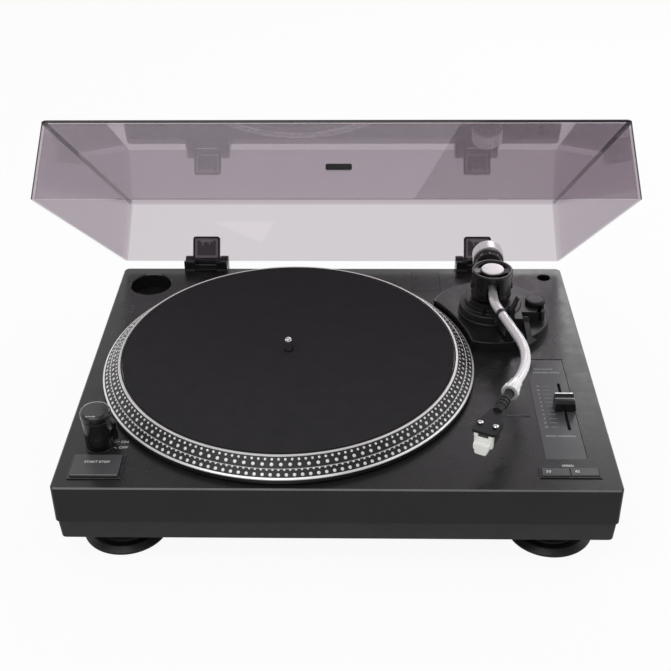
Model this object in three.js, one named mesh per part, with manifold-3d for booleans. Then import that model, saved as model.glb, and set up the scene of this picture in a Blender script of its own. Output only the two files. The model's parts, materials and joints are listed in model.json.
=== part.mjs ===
// A belt-drive record player with an S-shaped tonearm, a strobe-dotted platter and a hinged dust cover.
// Millimetres. X runs to the right, Y from front to back and Z up. The deck frame used below has its
// origin at the middle of the plinth's front edge, on the plinth's top surface.
import * as THREE from 'three';
import { mergeVertices } from 'three/addons/utils/BufferGeometryUtils.js';
import Module from 'manifold-3d';

const wasm = await Module();
wasm.setup();

// ---------------------------------------------------------------------------------------------
// Driving dimensions
// ---------------------------------------------------------------------------------------------
const degrees = Math.PI / 180;
const FIT = 0.3; // gap left round a piece that moves or drops into another
const SINK = 0.5; // depth to which joined solids run into each other
const PAST = 1; // distance that a cutting solid runs past the face it cuts
const ALMOST_HALF = 0.496; // corner radius of a round-ended slot, as a share of its width
const WELD = 0.0001; // distance under which two corners of a skin are one
const EDGE = 1; // chamfer or lip on an ordinary edge
const FINE_EDGE = 0.5; // chamfer on a small piece

// Sides of round pieces, by their size
const SIDES_HUGE = 128;
const SIDES_LARGE = 60;
const SIDES_WELL = 48;
const SIDES_MEDIUM = 36;
const SIDES_SMALL = 22;
const SIDES_FINE = 14;
const SIDES_TINY = 8;
const CORNER_STEPS = 3;

// Plinth
const PLINTH_WIDTH = 450;
const PLINTH_DEPTH = 350;
const COVER_HEIGHT = 34.4;
const COVER_WALL = 3;
const COVER_SKIN = 3.2;
const COVER_CORNER = 4;
const COVER_CHAMFER = 1.1;
const TRAY_HEIGHT = 18.9;
const TRAY_WALL = 3;
const TRAY_FLOOR = 3;
const TRAY_INSET_TOP = 1.2;
const TRAY_INSET_BOTTOM = 2.2;
const BOSS_RADIUS = 4.5;
const BOSS_INSET = 14;
const VENT_X = -70;
const VENT_FROM_REAR = 139;
const VENT_COUNT = 8;
const VENT_PITCH = 9;
const VENT_WIDTH = 3;
const VENT_LENGTH = 46;

// Feet
const FOOT_HEIGHT = 25.2;
const FOOT_RADIUS = 36.5;
const FOOT_SHOULDER_RADIUS = 30;
const FOOT_SHOULDER_HEIGHT = 6.5;
const FOOT_NECK_RADIUS = 23;
const FOOT_SIDE_INSET = 46.7;
const FOOT_END_INSET = 42.5;
const FOOT_RIM = 1.8;
const FOOT_RIM_CHAMFER = 0.6;
const FOOT_STEP = 2.4;

// Platter, mat and drive
const PLATTER_RADIUS = 166;
const PLATTER_LEFT_MARGIN = 14.1;
const PLATTER_FORWARD = 4.9;
const PLATTER_RIM_Z = 6;
const PLATTER_BOTTOM_Z = 1.5;
const PLATTER_RIM_WALL = 7;
const STROBE_WIDTH = 14.9;
const STROBE_TOP_Z = 18.2;
const OUTER_RING_WIDTH = 1.7;
const OUTER_RING_RISE = 0.6;
const INNER_RING_WIDTH = 3.2;
const MAT_THICKNESS = 3;
const MAT_TOP_Z = 18.4;
const MAT_GAP = 0.4;
const PLATTER_DECK_THICKNESS = 4;
const HUB_RADIUS = 15;
const HUB_LIFT = 0.8;
const BELT_TRACK_RADIUS = 88;
const BELT_TRACK_WALL = 5;
const SPINDLE_RADIUS = 3.6;
const SPINDLE_HEIGHT = 12.5;
const SPINDLE_TIP = 2.6;
const SPINDLE_TIP_END = 0.7;
const SPINDLE_TIP_IN = 0.9;
const SPINDLE_TIP_RADIUS = 1.4;
const SPINDLE_BOSS_WALL = 1.6;
const SPINDLE_BOSS_TAPER = 0.2;
const SHAFT_FLANGE_RADIUS = 11;
const SHAFT_FLANGE_THICKNESS = 1.2;
const SHAFT_DEPTH = 26;
const SHAFT_FIT = 0.12;
const BEARING_RADIUS = 9;
const BEARING_FLANGE_RADIUS = 26;
const BEARING_FLANGE_THICKNESS = 2.4;
const BEARING_FLOOR = 2;
const BALL_RADIUS = 1.6;
const MOTOR_RADIUS = 17.5;
const MOTOR_HEIGHT = 26;
const MOTOR_FLANGE_RADIUS = 23;
const MOTOR_FLANGE_THICKNESS = 2;
const MOTOR_DISTANCE = 112;
const MOTOR_ANGLE = 135 * degrees;
const MOTOR_SHAFT_RADIUS = 1;
const MOTOR_BORE_FLOOR = 8;
const MOTOR_HOLE_GAP = 2;
const PULLEY_RADIUS = 6;
const PULLEY_LIP = 1.2;
const PULLEY_LIP_HEIGHT = 0.8;
const PULLEY_LIP_TAPER = 0.8;
const PULLEY_CROWN_EDGE = 0.6;
const PULLEY_CROWN_TAPER = 0.4;
const PULLEY_TOP_Z = 10.6;
const PULLEY_BOTTOM_Z = 2.6;
const BELT_THICKNESS = 0.8;
const BELT_WIDTH = 4.8;
const BELT_Z = 4.6;
const BELT_FIT = 0.25;

// Wells in the plinth top
const ADAPTER_SIDE_INSET = 32;
const ADAPTER_REAR_INSET = 33;
const ADAPTER_RADIUS = 20.3;
const ADAPTER_DEPTH = 15;
const ADAPTER_TAPER = 0.6;
const ADAPTER_CHAMFER = 1.2;
const HOLDER_SIDE_INSET = 19.1;
const HOLDER_REAR_INSET = 18.7;
const HOLDER_RADIUS = 6.35;
const HOLDER_DEPTH = 26;
const HOLDER_CHAMFER = 0.8;
const CUP_WALL = 2.2;
const WELL_ABOVE = 0.2;

// Inlaid plate behind the platter
const PLATE_X = 85.5;
const PLATE_REAR_INSET = 27.7;
const PLATE_WIDTH = 28.2;
const PLATE_DEPTH = 36.6;
const PLATE_THICKNESS = 1;
const PLATE_GAP = 0.4;

// Start/stop key and strobe tower
const START_SIDE_INSET = 32.9;
const START_Y = 26;
const START_BEZEL_WIDTH = 42.8;
const START_BEZEL_DEPTH = 30.4;
const START_BEZEL_HEIGHT = 1;
const START_RIM = 1.9;
const START_KEY_TOP = 3;
const TOWER_Y = 54;
const TOWER_HOLE_RADIUS = 5;
const STROBE_GAP = 8.845;
const TOWER_HEIGHT = 36.5;
const TOWER_BASE_RADIUS = 11.3;
const TOWER_TOP_RADIUS = 12.1;
const KNOB_RADIUS = 12.7;
const KNOB_HEIGHT = 7;
const KNOB_CHAMFER = 0.8;
const KNOB_STEM_RADIUS = 4;
const KNOB_STEM_LENGTH = 8;
const LAMP_HOOD_REACH = 14.6;
const LAMP_HOOD_WIDTH = 13;
const LAMP_HOOD_BOTTOM = 4;
const LAMP_HOOD_TOP = 22;
const LENS_THICKNESS = 1.2;
const LENS_RIM = 2;

// Speed keys
const SPEED_SIDE_INSET = 39.5;
const SPEED_Y = 21.3;
const SPEED_BEZEL_WIDTH = 49;
const SPEED_BEZEL_DEPTH = 13.2;
const SPEED_BEZEL_HEIGHT = 0.8;
const SPEED_RIM = 1.6;
const SPEED_KEY_TOP = 1.8;
const KEY_WELL_DEPTH = 4.6;
const KEY_WELL_FLOOR = 2;
const KEY_BODY_DEPTH = 2.4;
const KEY_STEM_RADIUS = 2.4;
const KEY_STEM_LENGTH = 6.2;
const KEY_CORNER = 0.8;

// Pitch control
const PITCH_SIDE_INSET = 39.5;
const PITCH_PANEL_Y = 110.8;
const PITCH_PANEL_WIDTH = 34;
const PITCH_PANEL_LENGTH = 143.5;
const PITCH_PANEL_THICKNESS = 0.8;
const PITCH_RECESS = 1.2;
const PITCH_SLOT_RIGHT = 8.3;
const PITCH_SLOT_BACK = 0.4;
const PITCH_SLOT_LENGTH = 67.8;
const PITCH_SLOT_WIDTH = 2.6;
const PITCH_STEM_WIDTH = 1.6;
const PITCH_STEM_LENGTH = 5;
const PITCH_BODY_WIDTH = 12;
const PITCH_BODY_HEIGHT = 10;
const PITCH_BODY_MARGIN = 8;
const PITCH_BODY_FLOOR = 2;
const PITCH_KNOB_WIDTH = 18;
const PITCH_KNOB_LENGTH = 12.4;
const PITCH_KNOB_TOP = 12.2;
const PITCH_KNOB_GAP = 1.2;
const PITCH_KNOB_SHOULDER = 1.6;
const PITCH_KNOB_CHAMFER = 1;
const PITCH_KNOB_CREST = 2.2;
const PITCH_GROOVE_HALF = 1.1;
const PITCH_GROOVE_DEPTH = 3;
const PITCH_POINTER_HALF = 0.9;
const PITCH_POINTER_DROP = 2.2;
const PITCH_REST = -2.6;

// Dust cover and its hinges
const LID_SIDE_INSET = 1.2;
const LID_HEIGHT = 60.4;
const LID_WALL = 2.5;
const LID_CORNER = 3;
const LID_INNER_CORNER = 1;
const LID_CHAMFER = 0.9;
const LID_DRAFT_SIDE = 5.2;
const LID_DRAFT_FRONT = 6.6;
const LID_DRAFT_REAR = 3.4;
const LID_GAP = 3;
const LID_FRONT_INSET = 0.6;
const LID_OPEN = 36.6 * degrees;
const PLAQUE_X = 2.8;
const PLAQUE_WIDTH = 19.4;
const PLAQUE_HEIGHT = 4.6;
const PLAQUE_THICKNESS = 1;
const PLAQUE_CORNER = 1.2;
const PLAQUE_BELOW_TOP = 36.4;
const GLUE_GAP = 0.1;
const HINGE_SIDE_INSET = 85;
const HINGE_AXIS_BEHIND = 8;
const HINGE_AXIS_Z = 4;
const HINGE_WIDTH = 44;
const HINGE_LUG_WIDTH = 11.5;
const HINGE_LUG_HEIGHT = 11;
const HINGE_LUG_DEPTH = 3.4;
const HINGE_LUG_FRONT = 7;
const HINGE_PLATE = 2.2;
const HINGE_DROP = 22;
const HINGE_EAR_RADIUS = 5.6;
const HINGE_BLOCK_THICKNESS = 2.4;
const HINGE_PIN_RADIUS = 1.8;
const HINGE_PIN_INSET = 1;
const HINGE_EAR_GAP = 0.5;
const HINGE_KNUCKLE_GAP = 0.5;
const LEAF_KNUCKLE_RADIUS = 4.8;
const LEAF_WIDTH = 27.7;
const LEAF_THICKNESS = 3;
const LEAF_RIM = 1.2;
const LEAF_RIM_WIDTH = 2.6;
const LEAF_TOP = 24.4;
const LEAF_CORNER = 2.6;
const LEAF_GAP = 0.35;
const LEAF_LIFT = 1.6;
const LEAF_RIM_SINK = 0.2;
const LEAF_HOLE_CORNER = 1;
const LEAF_NECK = 2.9;

// Tonearm base
const ARM_BASE_GAP = 8;
const PIVOT_REAR_INSET = 100;
const BOARD_RADIUS = 56;
const BOARD_HEIGHT = 10;
const BOARD_CHAMFER = 0.8;
const BOARD_PLATTER_GAP = 3;
const BASE_RADIUS = 30;
const BASE_TOP_Z = 20.5;
const COLLAR_RADIUS = 24.6;
const COLLAR_TOP_Z = 26;
const PILLAR_RADIUS = 6;
const PILLAR_BOTTOM_Z = -10;
const PILLAR_ROOM = 2;
const SKATE_OFFSET = 42.5;
const SKATE_BLOCK_START = 10;
const SKATE_NOSE_LENGTH = 24.1;
const SKATE_NOSE_CORNER = 6;
const SKATE_NOSE_CHAMFER = 0.6;
const SKATE_STEM_RADIUS = 2.5;
const SKATE_STEM_LENGTH = 4.5;
const SKATE_STEM_HOLE = 5;
const SKATE_KNOB_CHAMFER = 0.7;
const SKATE_BLOCK_FRONT = 17;
const SKATE_BLOCK_BACK = 10;
const SKATE_BLOCK_REACH = 50.6;
const SKATE_BLOCK_TOP_Z = 19.4;
const SKATE_KNOB_RADIUS = 9.7;
const SKATE_KNOB_HEIGHT = 4.4;

// Tonearm
const ARM_HEIGHT = 39;
const ARM_TURN = -1.7 * degrees;
const HOUSING_RADIUS = 19;
const HOUSING_WALL = 3.2;
const HOUSING_BOTTOM_Z = 29.5;
const HOUSING_TOP_Z = 56;
const HOUSING_FLOOR = 2.6;
const HOUSING_ROOF = 3;
const HOUSING_SLOT_WIDTH = 11.5;
const HOUSING_SLOT_TOP = 12;
const HOUSING_SLOT_BOTTOM = 6;
const HOUSING_NOTCH_START = 7;
const HOUSING_FOOT_CHAMFER = 0.8;
const CAP_RADIUS = 10.6;
const CAP_THICKNESS = 1.4;
const CAP_RECESS = 1;
const CAP_CHAMFER = 0.4;
const TRUNNION_RADIUS = 6.2;
const TRUNNION_LENGTH = 24;
const TRUNNION_PIN_RADIUS = 1.6;
const TRUNNION_PIN_REACH = 3;
const TRUNNION_PIN_PROUD = 0.2;
const TUBE_RADIUS = 4.3;
const TUBE_STEPS = 34;
const BEND_OUT_STEPS = 6;
const BEND_IN_STEPS = 14;
const FIRST_LEG = 32.3;
const SECOND_LEG = 93.3;
const THIRD_LEG = 115.3;
const BEND_OUT = 16.6 * degrees;
const BEND_IN = 40.8 * degrees;
const BEND_OUT_RADIUS = 60;
const BEND_IN_RADIUS = 86;
const STUB_RADIUS = 4.6;
const STUB_LENGTH = 66;
const WEIGHT_START = 46;
const WEIGHT_LENGTH = 16;
const WEIGHT_RADIUS = 15.2;
const WEIGHT_CHAMFER = 1.2;
const DIAL_LENGTH = 9.4;
const DIAL_RADIUS_FRONT = 12.6;
const DIAL_RADIUS_REAR = 14.6;
const DIAL_FACE_CHAMFER = 0.6;
const DIAL_GRIP = 1;
const LOCK_LENGTH = 16;
const LOCK_RADIUS = 7.5;
const LOCK_NECK_RADIUS = 5.3;
const LOCK_FROM_STYLUS = 57.5;
const LOCK_JOINT = 9;
const LOCK_FLAT = 5;
const LOCK_CHAMFER = 0.8;
const SHELL_NECK_RADIUS = 4;
const SHELL_LENGTH = 36.5;
const SHELL_WIDTH = 19.8;
const SHELL_TAPER_START = 11;
const SHELL_REAR_WIDTH = 9;
const SHELL_THICKNESS = 2.2;
const SHELL_SKIRT = 3.4;
const SHELL_PAST_STYLUS = 2.5;
const SHELL_NOSE_CHAMFER = 1.5;
const SHELL_SKIRT_DRAFT = 0.6;
const SHELL_SKIRT_WALL = 1.8;
const SHELL_SKIRT_SHARE = 0.75;
const SHELL_NECK_SINK = 5;
const SHELL_SKIRT_SINK = 1;
const SHELL_TOP = 1.2;
const SHELL_SLOT_LENGTH = 9;
const SHELL_SLOT_WIDTH = 2.8;
const SHELL_SLOT_SPACING = 12.7;
const SHELL_SLOT_BACK = 8.4;
const LIFT_BAR_RADIUS = 1;
const LIFT_BAR_BACK = 28;
const LIFT_BAR_REACH = 19;
const LIFT_BAR_SWEEP = 6;
const LIFT_BAR_RISE = 2;
const LIFT_BAR_BULGE = 1.4;
const CARTRIDGE_WIDTH = 15.6;
const CARTRIDGE_LENGTH = 25;
const CARTRIDGE_HEIGHT = 12.6;
const CARTRIDGE_PAST_STYLUS = 1.6;
const CARTRIDGE_CORNER = 1;
const CARTRIDGE_CHAMFER = 0.4;
const CARTRIDGE_STEP_START = 5;
const CARTRIDGE_STEP_HEIGHT = 4;
const CARTRIDGE_GROOVE_DEPTH = 1.6;
const CARTRIDGE_GROOVE_END = 6;
const STYLUS_DROP = 17.6;
const STYLUS_BLOCK_WIDTH = 6;
const STYLUS_BLOCK_LENGTH = 13;
const STYLUS_BLOCK_HEIGHT = 3.2;
const STYLUS_BLOCK_FRONT = 1.2;
const STYLUS_TIP_LENGTH = 1.4;
const STYLUS_TIP_POINT = 0.3;
const STYLUS_TIP_PLACE = 0.9;
const STYLUS_TIP_SIDES = 12;
const CANTILEVER_RADIUS = 0.45;
const CANTILEVER_ROOT = 2.2;
const CANTILEVER_RUN = 3.4;
const CANTILEVER_END = 1.1;
const CANTILEVER_LIFT = 1.2;
const CANTILEVER_SIDES = 10;
const STYLUS_TIP_RADIUS = 0.6;
const STYLUS_TIP_FLAT = 0.24;
const GUARD_WIDTH = 13;
const GUARD_HEIGHT = 9.5;
const GUARD_REACH = 4.8;
const GUARD_WALL = 1;
const GUARD_DROP = 0.8;
const GUARD_BEVEL = 3;
const GUARD_BEVEL_OUT = 1.2;

// Arm rest and cueing lift
const REST_PAST_BEND = 20.6;
const REST_FOOT_LENGTH = 23;
const REST_FOOT_THICKNESS = 3;
const REST_GAP = 1.3;
const REST_CRADLE_REACH = 6;
const REST_CRADLE_THICKNESS = 4;
const REST_DEPTH = 7;
const REST_POST_WIDTH = 4.6;
const REST_POST_GAP = 2.2;
const REST_POST_TOP = 5;
const REST_FOOT_LIP = 1;
const CLIP_LENGTH = 13;
const CLIP_THICKNESS = 1.8;
const CLIP_WIDTH = 5;
const CLIP_PIN_RADIUS = 0.8;
const CLIP_PIN_FIT = 0.2;
const CLIP_HUB_RADIUS = 1.8;
const CLIP_TONGUE_START = 0.8;
const CLIP_PIN_INSET = 0.4;
const CLIP_LEAN = 24 * degrees;
const CLIP_PIN_DROP = 1.8;
const CUE_BAR_RADIUS = 26;
const CUE_BAR_WIDTH = 3.6;
const CUE_BAR_THICKNESS = 2.4;
const CUE_BAR_FROM = -52 * degrees;
const CUE_BAR_TO = 14 * degrees;
const CUE_DOWN_GAP = 3.4;
const CUE_PIN_RADIUS = 2.2;
const CUE_PIN_ANGLE = -20 * degrees;
const CUE_PIN_DEPTH = 14;
const CUE_PIN_GAP = 0.4;
const CUE_LEVER_X = 31;
const CUE_LEVER_Y = -24;
const CUE_LEVER_LENGTH = 37.4;
const CUE_LEVER_WIDTH = 5;
const CUE_LEVER_THICKNESS = 3;
const CUE_LEVER_AXLE_RADIUS = 1.8;
const CUE_LEVER_AXLE_Z = 14.8;
const CUE_LEVER_EYE_WALL = 2;
const CUE_LEVER_AXLE_PAST = 0.4;
const CUE_CHEEK_START = 20;
const CUE_CHEEK_FRONT = 5;
const CUE_CHEEK_BACK = 8;
const CUE_LEVER_LEAN = 1.5 * degrees;
const CUE_TAB_LENGTH = 12;
const CUE_TAB_WIDTH = 6;
const CUE_TAB_THICKNESS = 4.6;
const CUE_TAB_TURN = 45 * degrees;
const CUE_TAB_CORNER = 1;
const CUE_LEVER_GAP = 0.6;

// Electronics and sockets
const BOARD_THICKNESS = 1.6;
const BOARD_X = -10;
const BOARD_REAR_INSET = 65;
const BOARD_WIDTH = 130;
const BOARD_DEPTH = 84;
const BOARD_STANDOFF = 6;
const STANDOFF_RADIUS = 3;
const STANDOFF_INSET = 6;
const CAN_ROW_Y = 21;
const BIG_CAN_X = -46;
const BIG_CAN_RADIUS = 6;
const BIG_CAN_HEIGHT = 12;
const SMALL_CAN_X = -30;
const SMALL_CAN_RADIUS = 5;
const SMALL_CAN_HEIGHT = 10;
const HEAT_SINK_X = -38;
const HEAT_SINK_Y = -16;
const HEAT_SINK_WIDTH = 30;
const HEAT_SINK_DEPTH = 4;
const HEAT_SINK_HEIGHT = 14;
const CHIP_X = 8;
const CHIP_Y = -4;
const CHIP_WIDTH = 16;
const CHIP_HEIGHT = 1.6;
const CONNECTOR_X = 42;
const CONNECTOR_Y = -18;
const CONNECTOR_WIDTH = 22;
const CONNECTOR_DEPTH = 9;
const CONNECTOR_HEIGHT = 4;
const TRANSFORMER_SIDE_INSET = 95;
const TRANSFORMER_REAR_INSET = 39;
const TRANSFORMER_WIDTH = 52;
const TRANSFORMER_DEPTH = 34;
const TRANSFORMER_HEIGHT = 28;
const CORE_DEPTH = 20;
const WINDING_WIDTH = 32;
const WINDING_DROP = 4;
const WINDING_CORNER = 5;
const PANEL_WIDTH = 150;
const PANEL_HEIGHT = 25;
const PANEL_THICKNESS = 1.6;
const PANEL_LIP = 3;
const PANEL_Z = -18;
const JACK_RADIUS = 4.2;
const JACK_BORE = 1.7;
const JACK_LENGTH = 11;
const JACK_WASHER_RIM = 2;
const JACK_WASHER_THICKNESS = 2;
const JACK_BORE_FLOOR = 1;
const JACK_X = [-52, -36];
const GROUND_X = -66;
const GROUND_RADIUS = 3.6;
const GROUND_STEM_RADIUS = 2;
const GROUND_WASHER_THICKNESS = 1.2;
const GROUND_NUT_START = 3;
const GROUND_LENGTH = 9;
const USB_X = 40;
const USB_WIDTH = 12;
const USB_HEIGHT = 11;
const USB_WALL = 1.3;
const USB_DEPTH = 14;
const USB_PLUG_DEPTH = 10;
const USB_LIP = 1.5;
const USB_TONGUE_WIDTH = 5.6;
const USB_TONGUE_THICKNESS = 1.6;
const USB_TONGUE_INSET = 2;
const SELECTOR_X = -8;
const SELECTOR_WIDTH = 5;
const SELECTOR_HEIGHT = 3.4;
const SELECTOR_TRAVEL = 4;
const SELECTOR_PROUD = 2;
const SELECTOR_DEPTH = 6;
const SELECTOR_SLIDE = 2;
const SELECTOR_SLIDE_LIP = 1.5;
const INLET_X = -96;
const INLET_WIDTH = 26;
const INLET_HEIGHT = 19;
const INLET_DEPTH = 20;
const INLET_CAVITY_WIDTH = 15.6;
const INLET_CAVITY_HEIGHT = 8.6;
const INLET_CAVITY_DEPTH = 13;
const INLET_LIP = 2.4;
const INLET_LIP_THICKNESS = 2;
const INLET_PIN_SHORT = 3;
const INLET_PIN_RADIUS = 1.15;
const INLET_PIN_SPACING = 8.6;

// Places worked out from the above
const LEFT = -PLINTH_WIDTH / 2;
const RIGHT = PLINTH_WIDTH / 2;
const MIDDLE_Y = PLINTH_DEPTH / 2;
const PLATTER_X = LEFT + PLATTER_LEFT_MARGIN + PLATTER_RADIUS;
const PLATTER_Y = MIDDLE_Y - PLATTER_FORWARD;
const PIVOT_Y = PLINTH_DEPTH - PIVOT_REAR_INSET;
const PIVOT_X = PLATTER_X + besides(PLATTER_RADIUS + ARM_BASE_GAP + BASE_RADIUS, PIVOT_Y);
const TOWER_X = PLATTER_X - besides(PLATTER_RADIUS + STROBE_GAP + LAMP_HOOD_REACH, TOWER_Y);
const START_X = LEFT + START_SIDE_INSET;
const SPEED_X = RIGHT - SPEED_SIDE_INSET;
const PITCH_PANEL_X = RIGHT - PITCH_SIDE_INSET;
const PITCH_SLOT_X = PITCH_PANEL_X + PITCH_SLOT_RIGHT;
const PITCH_SLOT_Y = PITCH_PANEL_Y + PITCH_SLOT_BACK;
const ADAPTER_X = LEFT + ADAPTER_SIDE_INSET;
const ADAPTER_Y = PLINTH_DEPTH - ADAPTER_REAR_INSET;
const HOLDER_X = RIGHT - HOLDER_SIDE_INSET;
const HOLDER_Y = PLINTH_DEPTH - HOLDER_REAR_INSET;
const PLATE_Y = PLINTH_DEPTH - PLATE_REAR_INSET;
const BOARD_Y = PLINTH_DEPTH - BOARD_REAR_INSET;
const TRANSFORMER_X = LEFT + TRANSFORMER_SIDE_INSET;
const TRANSFORMER_Y = PLINTH_DEPTH - TRANSFORMER_REAR_INSET;
const VENT_Y = PLINTH_DEPTH - VENT_FROM_REAR;
const LID_WIDTH = PLINTH_WIDTH - 2 * LID_SIDE_INSET;

// The sideways distance from the platter's axis to a point at y, that far from the axis in all.
function besides(distance, y) {
  return Math.sqrt(distance ** 2 - (y - PLATTER_Y) ** 2);
}

// Levels worked out from the above
const TRAY_TOP_Z = -COVER_HEIGHT;
const TRAY_BOTTOM_Z = TRAY_TOP_Z - TRAY_HEIGHT;
const TRAY_FLOOR_Z = TRAY_BOTTOM_Z + TRAY_FLOOR;
const PLATTER_DECK_Z = MAT_TOP_Z - MAT_THICKNESS;
const PLATTER_UNDER_Z = PLATTER_DECK_Z - PLATTER_DECK_THICKNESS;
const REAR_INNER_Y = PLINTH_DEPTH - COVER_WALL;
const BOARD_BOTTOM_Z = TRAY_FLOOR_Z + BOARD_STANDOFF;
const HINGE_AXIS_Y = PLINTH_DEPTH + HINGE_AXIS_BEHIND;
const TUBE_START = TRUNNION_RADIUS + FIT;

// ---------------------------------------------------------------------------------------------
// Materials
// ---------------------------------------------------------------------------------------------
const finish = (color, roughness, metalness = 0, extra = {}) =>
  new THREE.MeshStandardMaterial({ color, roughness, metalness, ...extra });

const looks = {
  cover: () => finish(0x2b2b2d, 0.45),
  tray: () => finish(0x262626, 0.6),
  rubber: () => finish(0x202020, 0.8),
  platter: () => finish(0xb9babb, 0.35, 0.9),
  felt: () => finish(0x18181a, 0.95),
  chrome: () => finish(0xe2e2e4, 0.15, 1),
  steel: () => finish(0x8c8f92, 0.4, 0.9),
  black: () => finish(0x141415, 0.4),
  grey: () => finish(0x4c4f52, 0.5),
  smoke: () => finish(0x8a858a, 0.05, 0, { transparent: true, opacity: 0.35 }),
  cream: () => finish(0xe9e7dc, 0.4),
  red: () => finish(0xb02018, 0.2),
  green: () => finish(0x1c5a34, 0.6),
  brass: () => finish(0xc8a14a, 0.3, 1),
  copper: () => finish(0x9a6a3c, 0.5, 0.3),
};

// ---------------------------------------------------------------------------------------------
// Solids
// ---------------------------------------------------------------------------------------------

// Leaves one closed skin: shared vertices merged, collapsed triangles dropped, faces pointing out.
function closed(geometry) {
  const bare = geometry.clone();
  for (const name of Object.keys(bare.attributes)) {
    if (name !== 'position') bare.deleteAttribute(name);
  }
  const merged = mergeVertices(bare, WELD);
  const position = merged.attributes.position;
  const kept = [];
  let volume = 0;
  const [a, b, c] = [new THREE.Vector3(), new THREE.Vector3(), new THREE.Vector3()];
  for (let i = 0; i < merged.index.count; i += 3) {
    const [i0, i1, i2] = [0, 1, 2].map((k) => merged.index.getX(i + k));
    if (i0 === i1 || i1 === i2 || i2 === i0) continue;
    kept.push(i0, i1, i2);
    a.fromBufferAttribute(position, i0);
    b.fromBufferAttribute(position, i1);
    c.fromBufferAttribute(position, i2);
    volume += a.dot(b.cross(c));
  }
  if (volume < 0) kept.reverse();
  merged.setIndex(kept);
  return merged;
}

function toSolid(geometry) {
  const skin = closed(geometry);
  return new wasm.Manifold(new wasm.Mesh({
    numProp: 3,
    vertProperties: new Float32Array(skin.attributes.position.array),
    triVerts: new Uint32Array(skin.index.array),
  }));
}

function toGeometry(solid) {
  const mesh = solid.getMesh();
  const geometry = new THREE.BufferGeometry();
  geometry.setAttribute('position', new THREE.BufferAttribute(new Float32Array(mesh.vertProperties), 3));
  geometry.setIndex(Array.from(mesh.triVerts));
  return geometry;
}

const cut = (base, ...tools) =>
  toGeometry(tools.reduce((solid, tool) => solid.subtract(toSolid(tool)), toSolid(base)));
const join = (base, ...others) =>
  toGeometry(others.reduce((solid, other) => solid.add(toSolid(other)), toSolid(base)));

const move = (geometry, x, y, z) => geometry.clone().translate(x, y, z);

// A box between two corners.
function box(x0, x1, y0, y1, z0, z1) {
  const geometry = new THREE.BoxGeometry(x1 - x0, y1 - y0, z1 - z0);
  return geometry.translate((x0 + x1) / 2, (y0 + y1) / 2, (z0 + z1) / 2);
}

// A box of the given width and depth centred on (x, y).
const block = (x, y, width, depth, z0, z1) =>
  box(x - width / 2, x + width / 2, y - depth / 2, y + depth / 2, z0, z1);

// Points round a rounded rectangle centred on (x, y), anticlockwise from above.
function roundedOutline(width, depth, radius, x = 0, y = 0) {
  const points = [];
  const corners = [[1, 1, 0], [-1, 1, 90], [-1, -1, 180], [1, -1, 270]];
  for (const [sx, sy, from] of corners) {
    for (let i = 0; i <= CORNER_STEPS; i += 1) {
      const angle = (from + (90 * i) / CORNER_STEPS) * degrees;
      points.push(new THREE.Vector2(
        x + sx * (width / 2 - radius) + radius * Math.cos(angle),
        y + sy * (depth / 2 - radius) + radius * Math.sin(angle),
      ));
    }
  }
  return points;
}

// A closed solid through outlines of equal count, each at its own height: [[z, points], ...].
function loft(sections) {
  const count = sections[0][1].length;
  const positions = [];
  const index = [];
  for (const [z, points] of sections) {
    for (const point of points) positions.push(point.x, point.y, z);
  }
  for (let level = 0; level < sections.length - 1; level += 1) {
    for (let i = 0; i < count; i += 1) {
      const a = level * count + i;
      const b = level * count + ((i + 1) % count);
      index.push(a, b, b + count, a, b + count, a + count);
    }
  }
  const last = (sections.length - 1) * count;
  for (let i = 1; i < count - 1; i += 1) {
    index.push(0, i + 1, i);
    index.push(last, last + i, last + i + 1);
  }
  const geometry = new THREE.BufferGeometry();
  geometry.setAttribute('position', new THREE.Float32BufferAttribute(positions, 3));
  geometry.setIndex(index);
  return geometry;
}

// An upright prism with rounded corners and a chamfered top edge, centred on (x, y).
function pad(x, y, width, depth, z0, z1, corner, chamfer) {
  const outline = roundedOutline(width, depth, corner, x, y);
  const inner = roundedOutline(width - 2 * chamfer, depth - 2 * chamfer, corner, x, y);
  return loft([[z0, outline], [z1 - chamfer, outline], [z1, inner]]);
}

function extrude(shape, z0, z1, curveSegments = SIDES_FINE) {
  const depth = z1 - z0;
  return new THREE.ExtrudeGeometry(shape, { depth, bevelEnabled: false, curveSegments }).translate(0, 0, z0);
}

// A solid of revolution about Z from [radius, z] points, centred on (x, y).
function turned(profile, x = 0, y = 0, segments = SIDES_SMALL) {
  const points = profile.map(([r, z]) => new THREE.Vector2(r, z));
  if (profile[0][0] > 0) points.push(points[0].clone());
  return new THREE.LatheGeometry(points, segments).rotateX(Math.PI / 2).translate(x, y, 0);
}

const disc = (x, y, radius, z0, z1, segments = SIDES_SMALL) =>
  turned([[0, z0], [radius, z0], [radius, z1], [0, z1]], x, y, segments);

// A frame: a rounded rectangle with a rounded rectangular hole, both centred on (x, y).
function frame(x, y, width, depth, rim, z0, z1, corner) {
  const outer = loft([z0, z1].map((z) => [z, roundedOutline(width, depth, corner, x, y)]));
  const hole = loft([z0 - PAST, z1 + PAST].map((z) =>
    [z, roundedOutline(width - 2 * rim, depth - 2 * rim, corner / 2, x, y)]));
  return cut(outer, hole);
}

// Turns a solid built round the Z axis so that its +Z end points along +Y (back).
const layBack = (geometry) => geometry.clone().rotateX(-Math.PI / 2);
// Turns a solid built round the Z axis so that its +Z end points along +X (right).
const layRight = (geometry) => geometry.clone().rotateY(Math.PI / 2);
// A pin or bore along X about the origin, from x0 to x1.
const rod = (radius, x0, x1, segments = SIDES_TINY) => layRight(disc(0, 0, radius, x0, x1, segments));

// ---------------------------------------------------------------------------------------------
// Scene graph
// ---------------------------------------------------------------------------------------------
const player = new THREE.Group();
const deck = new THREE.Group();
player.add(deck);

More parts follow.
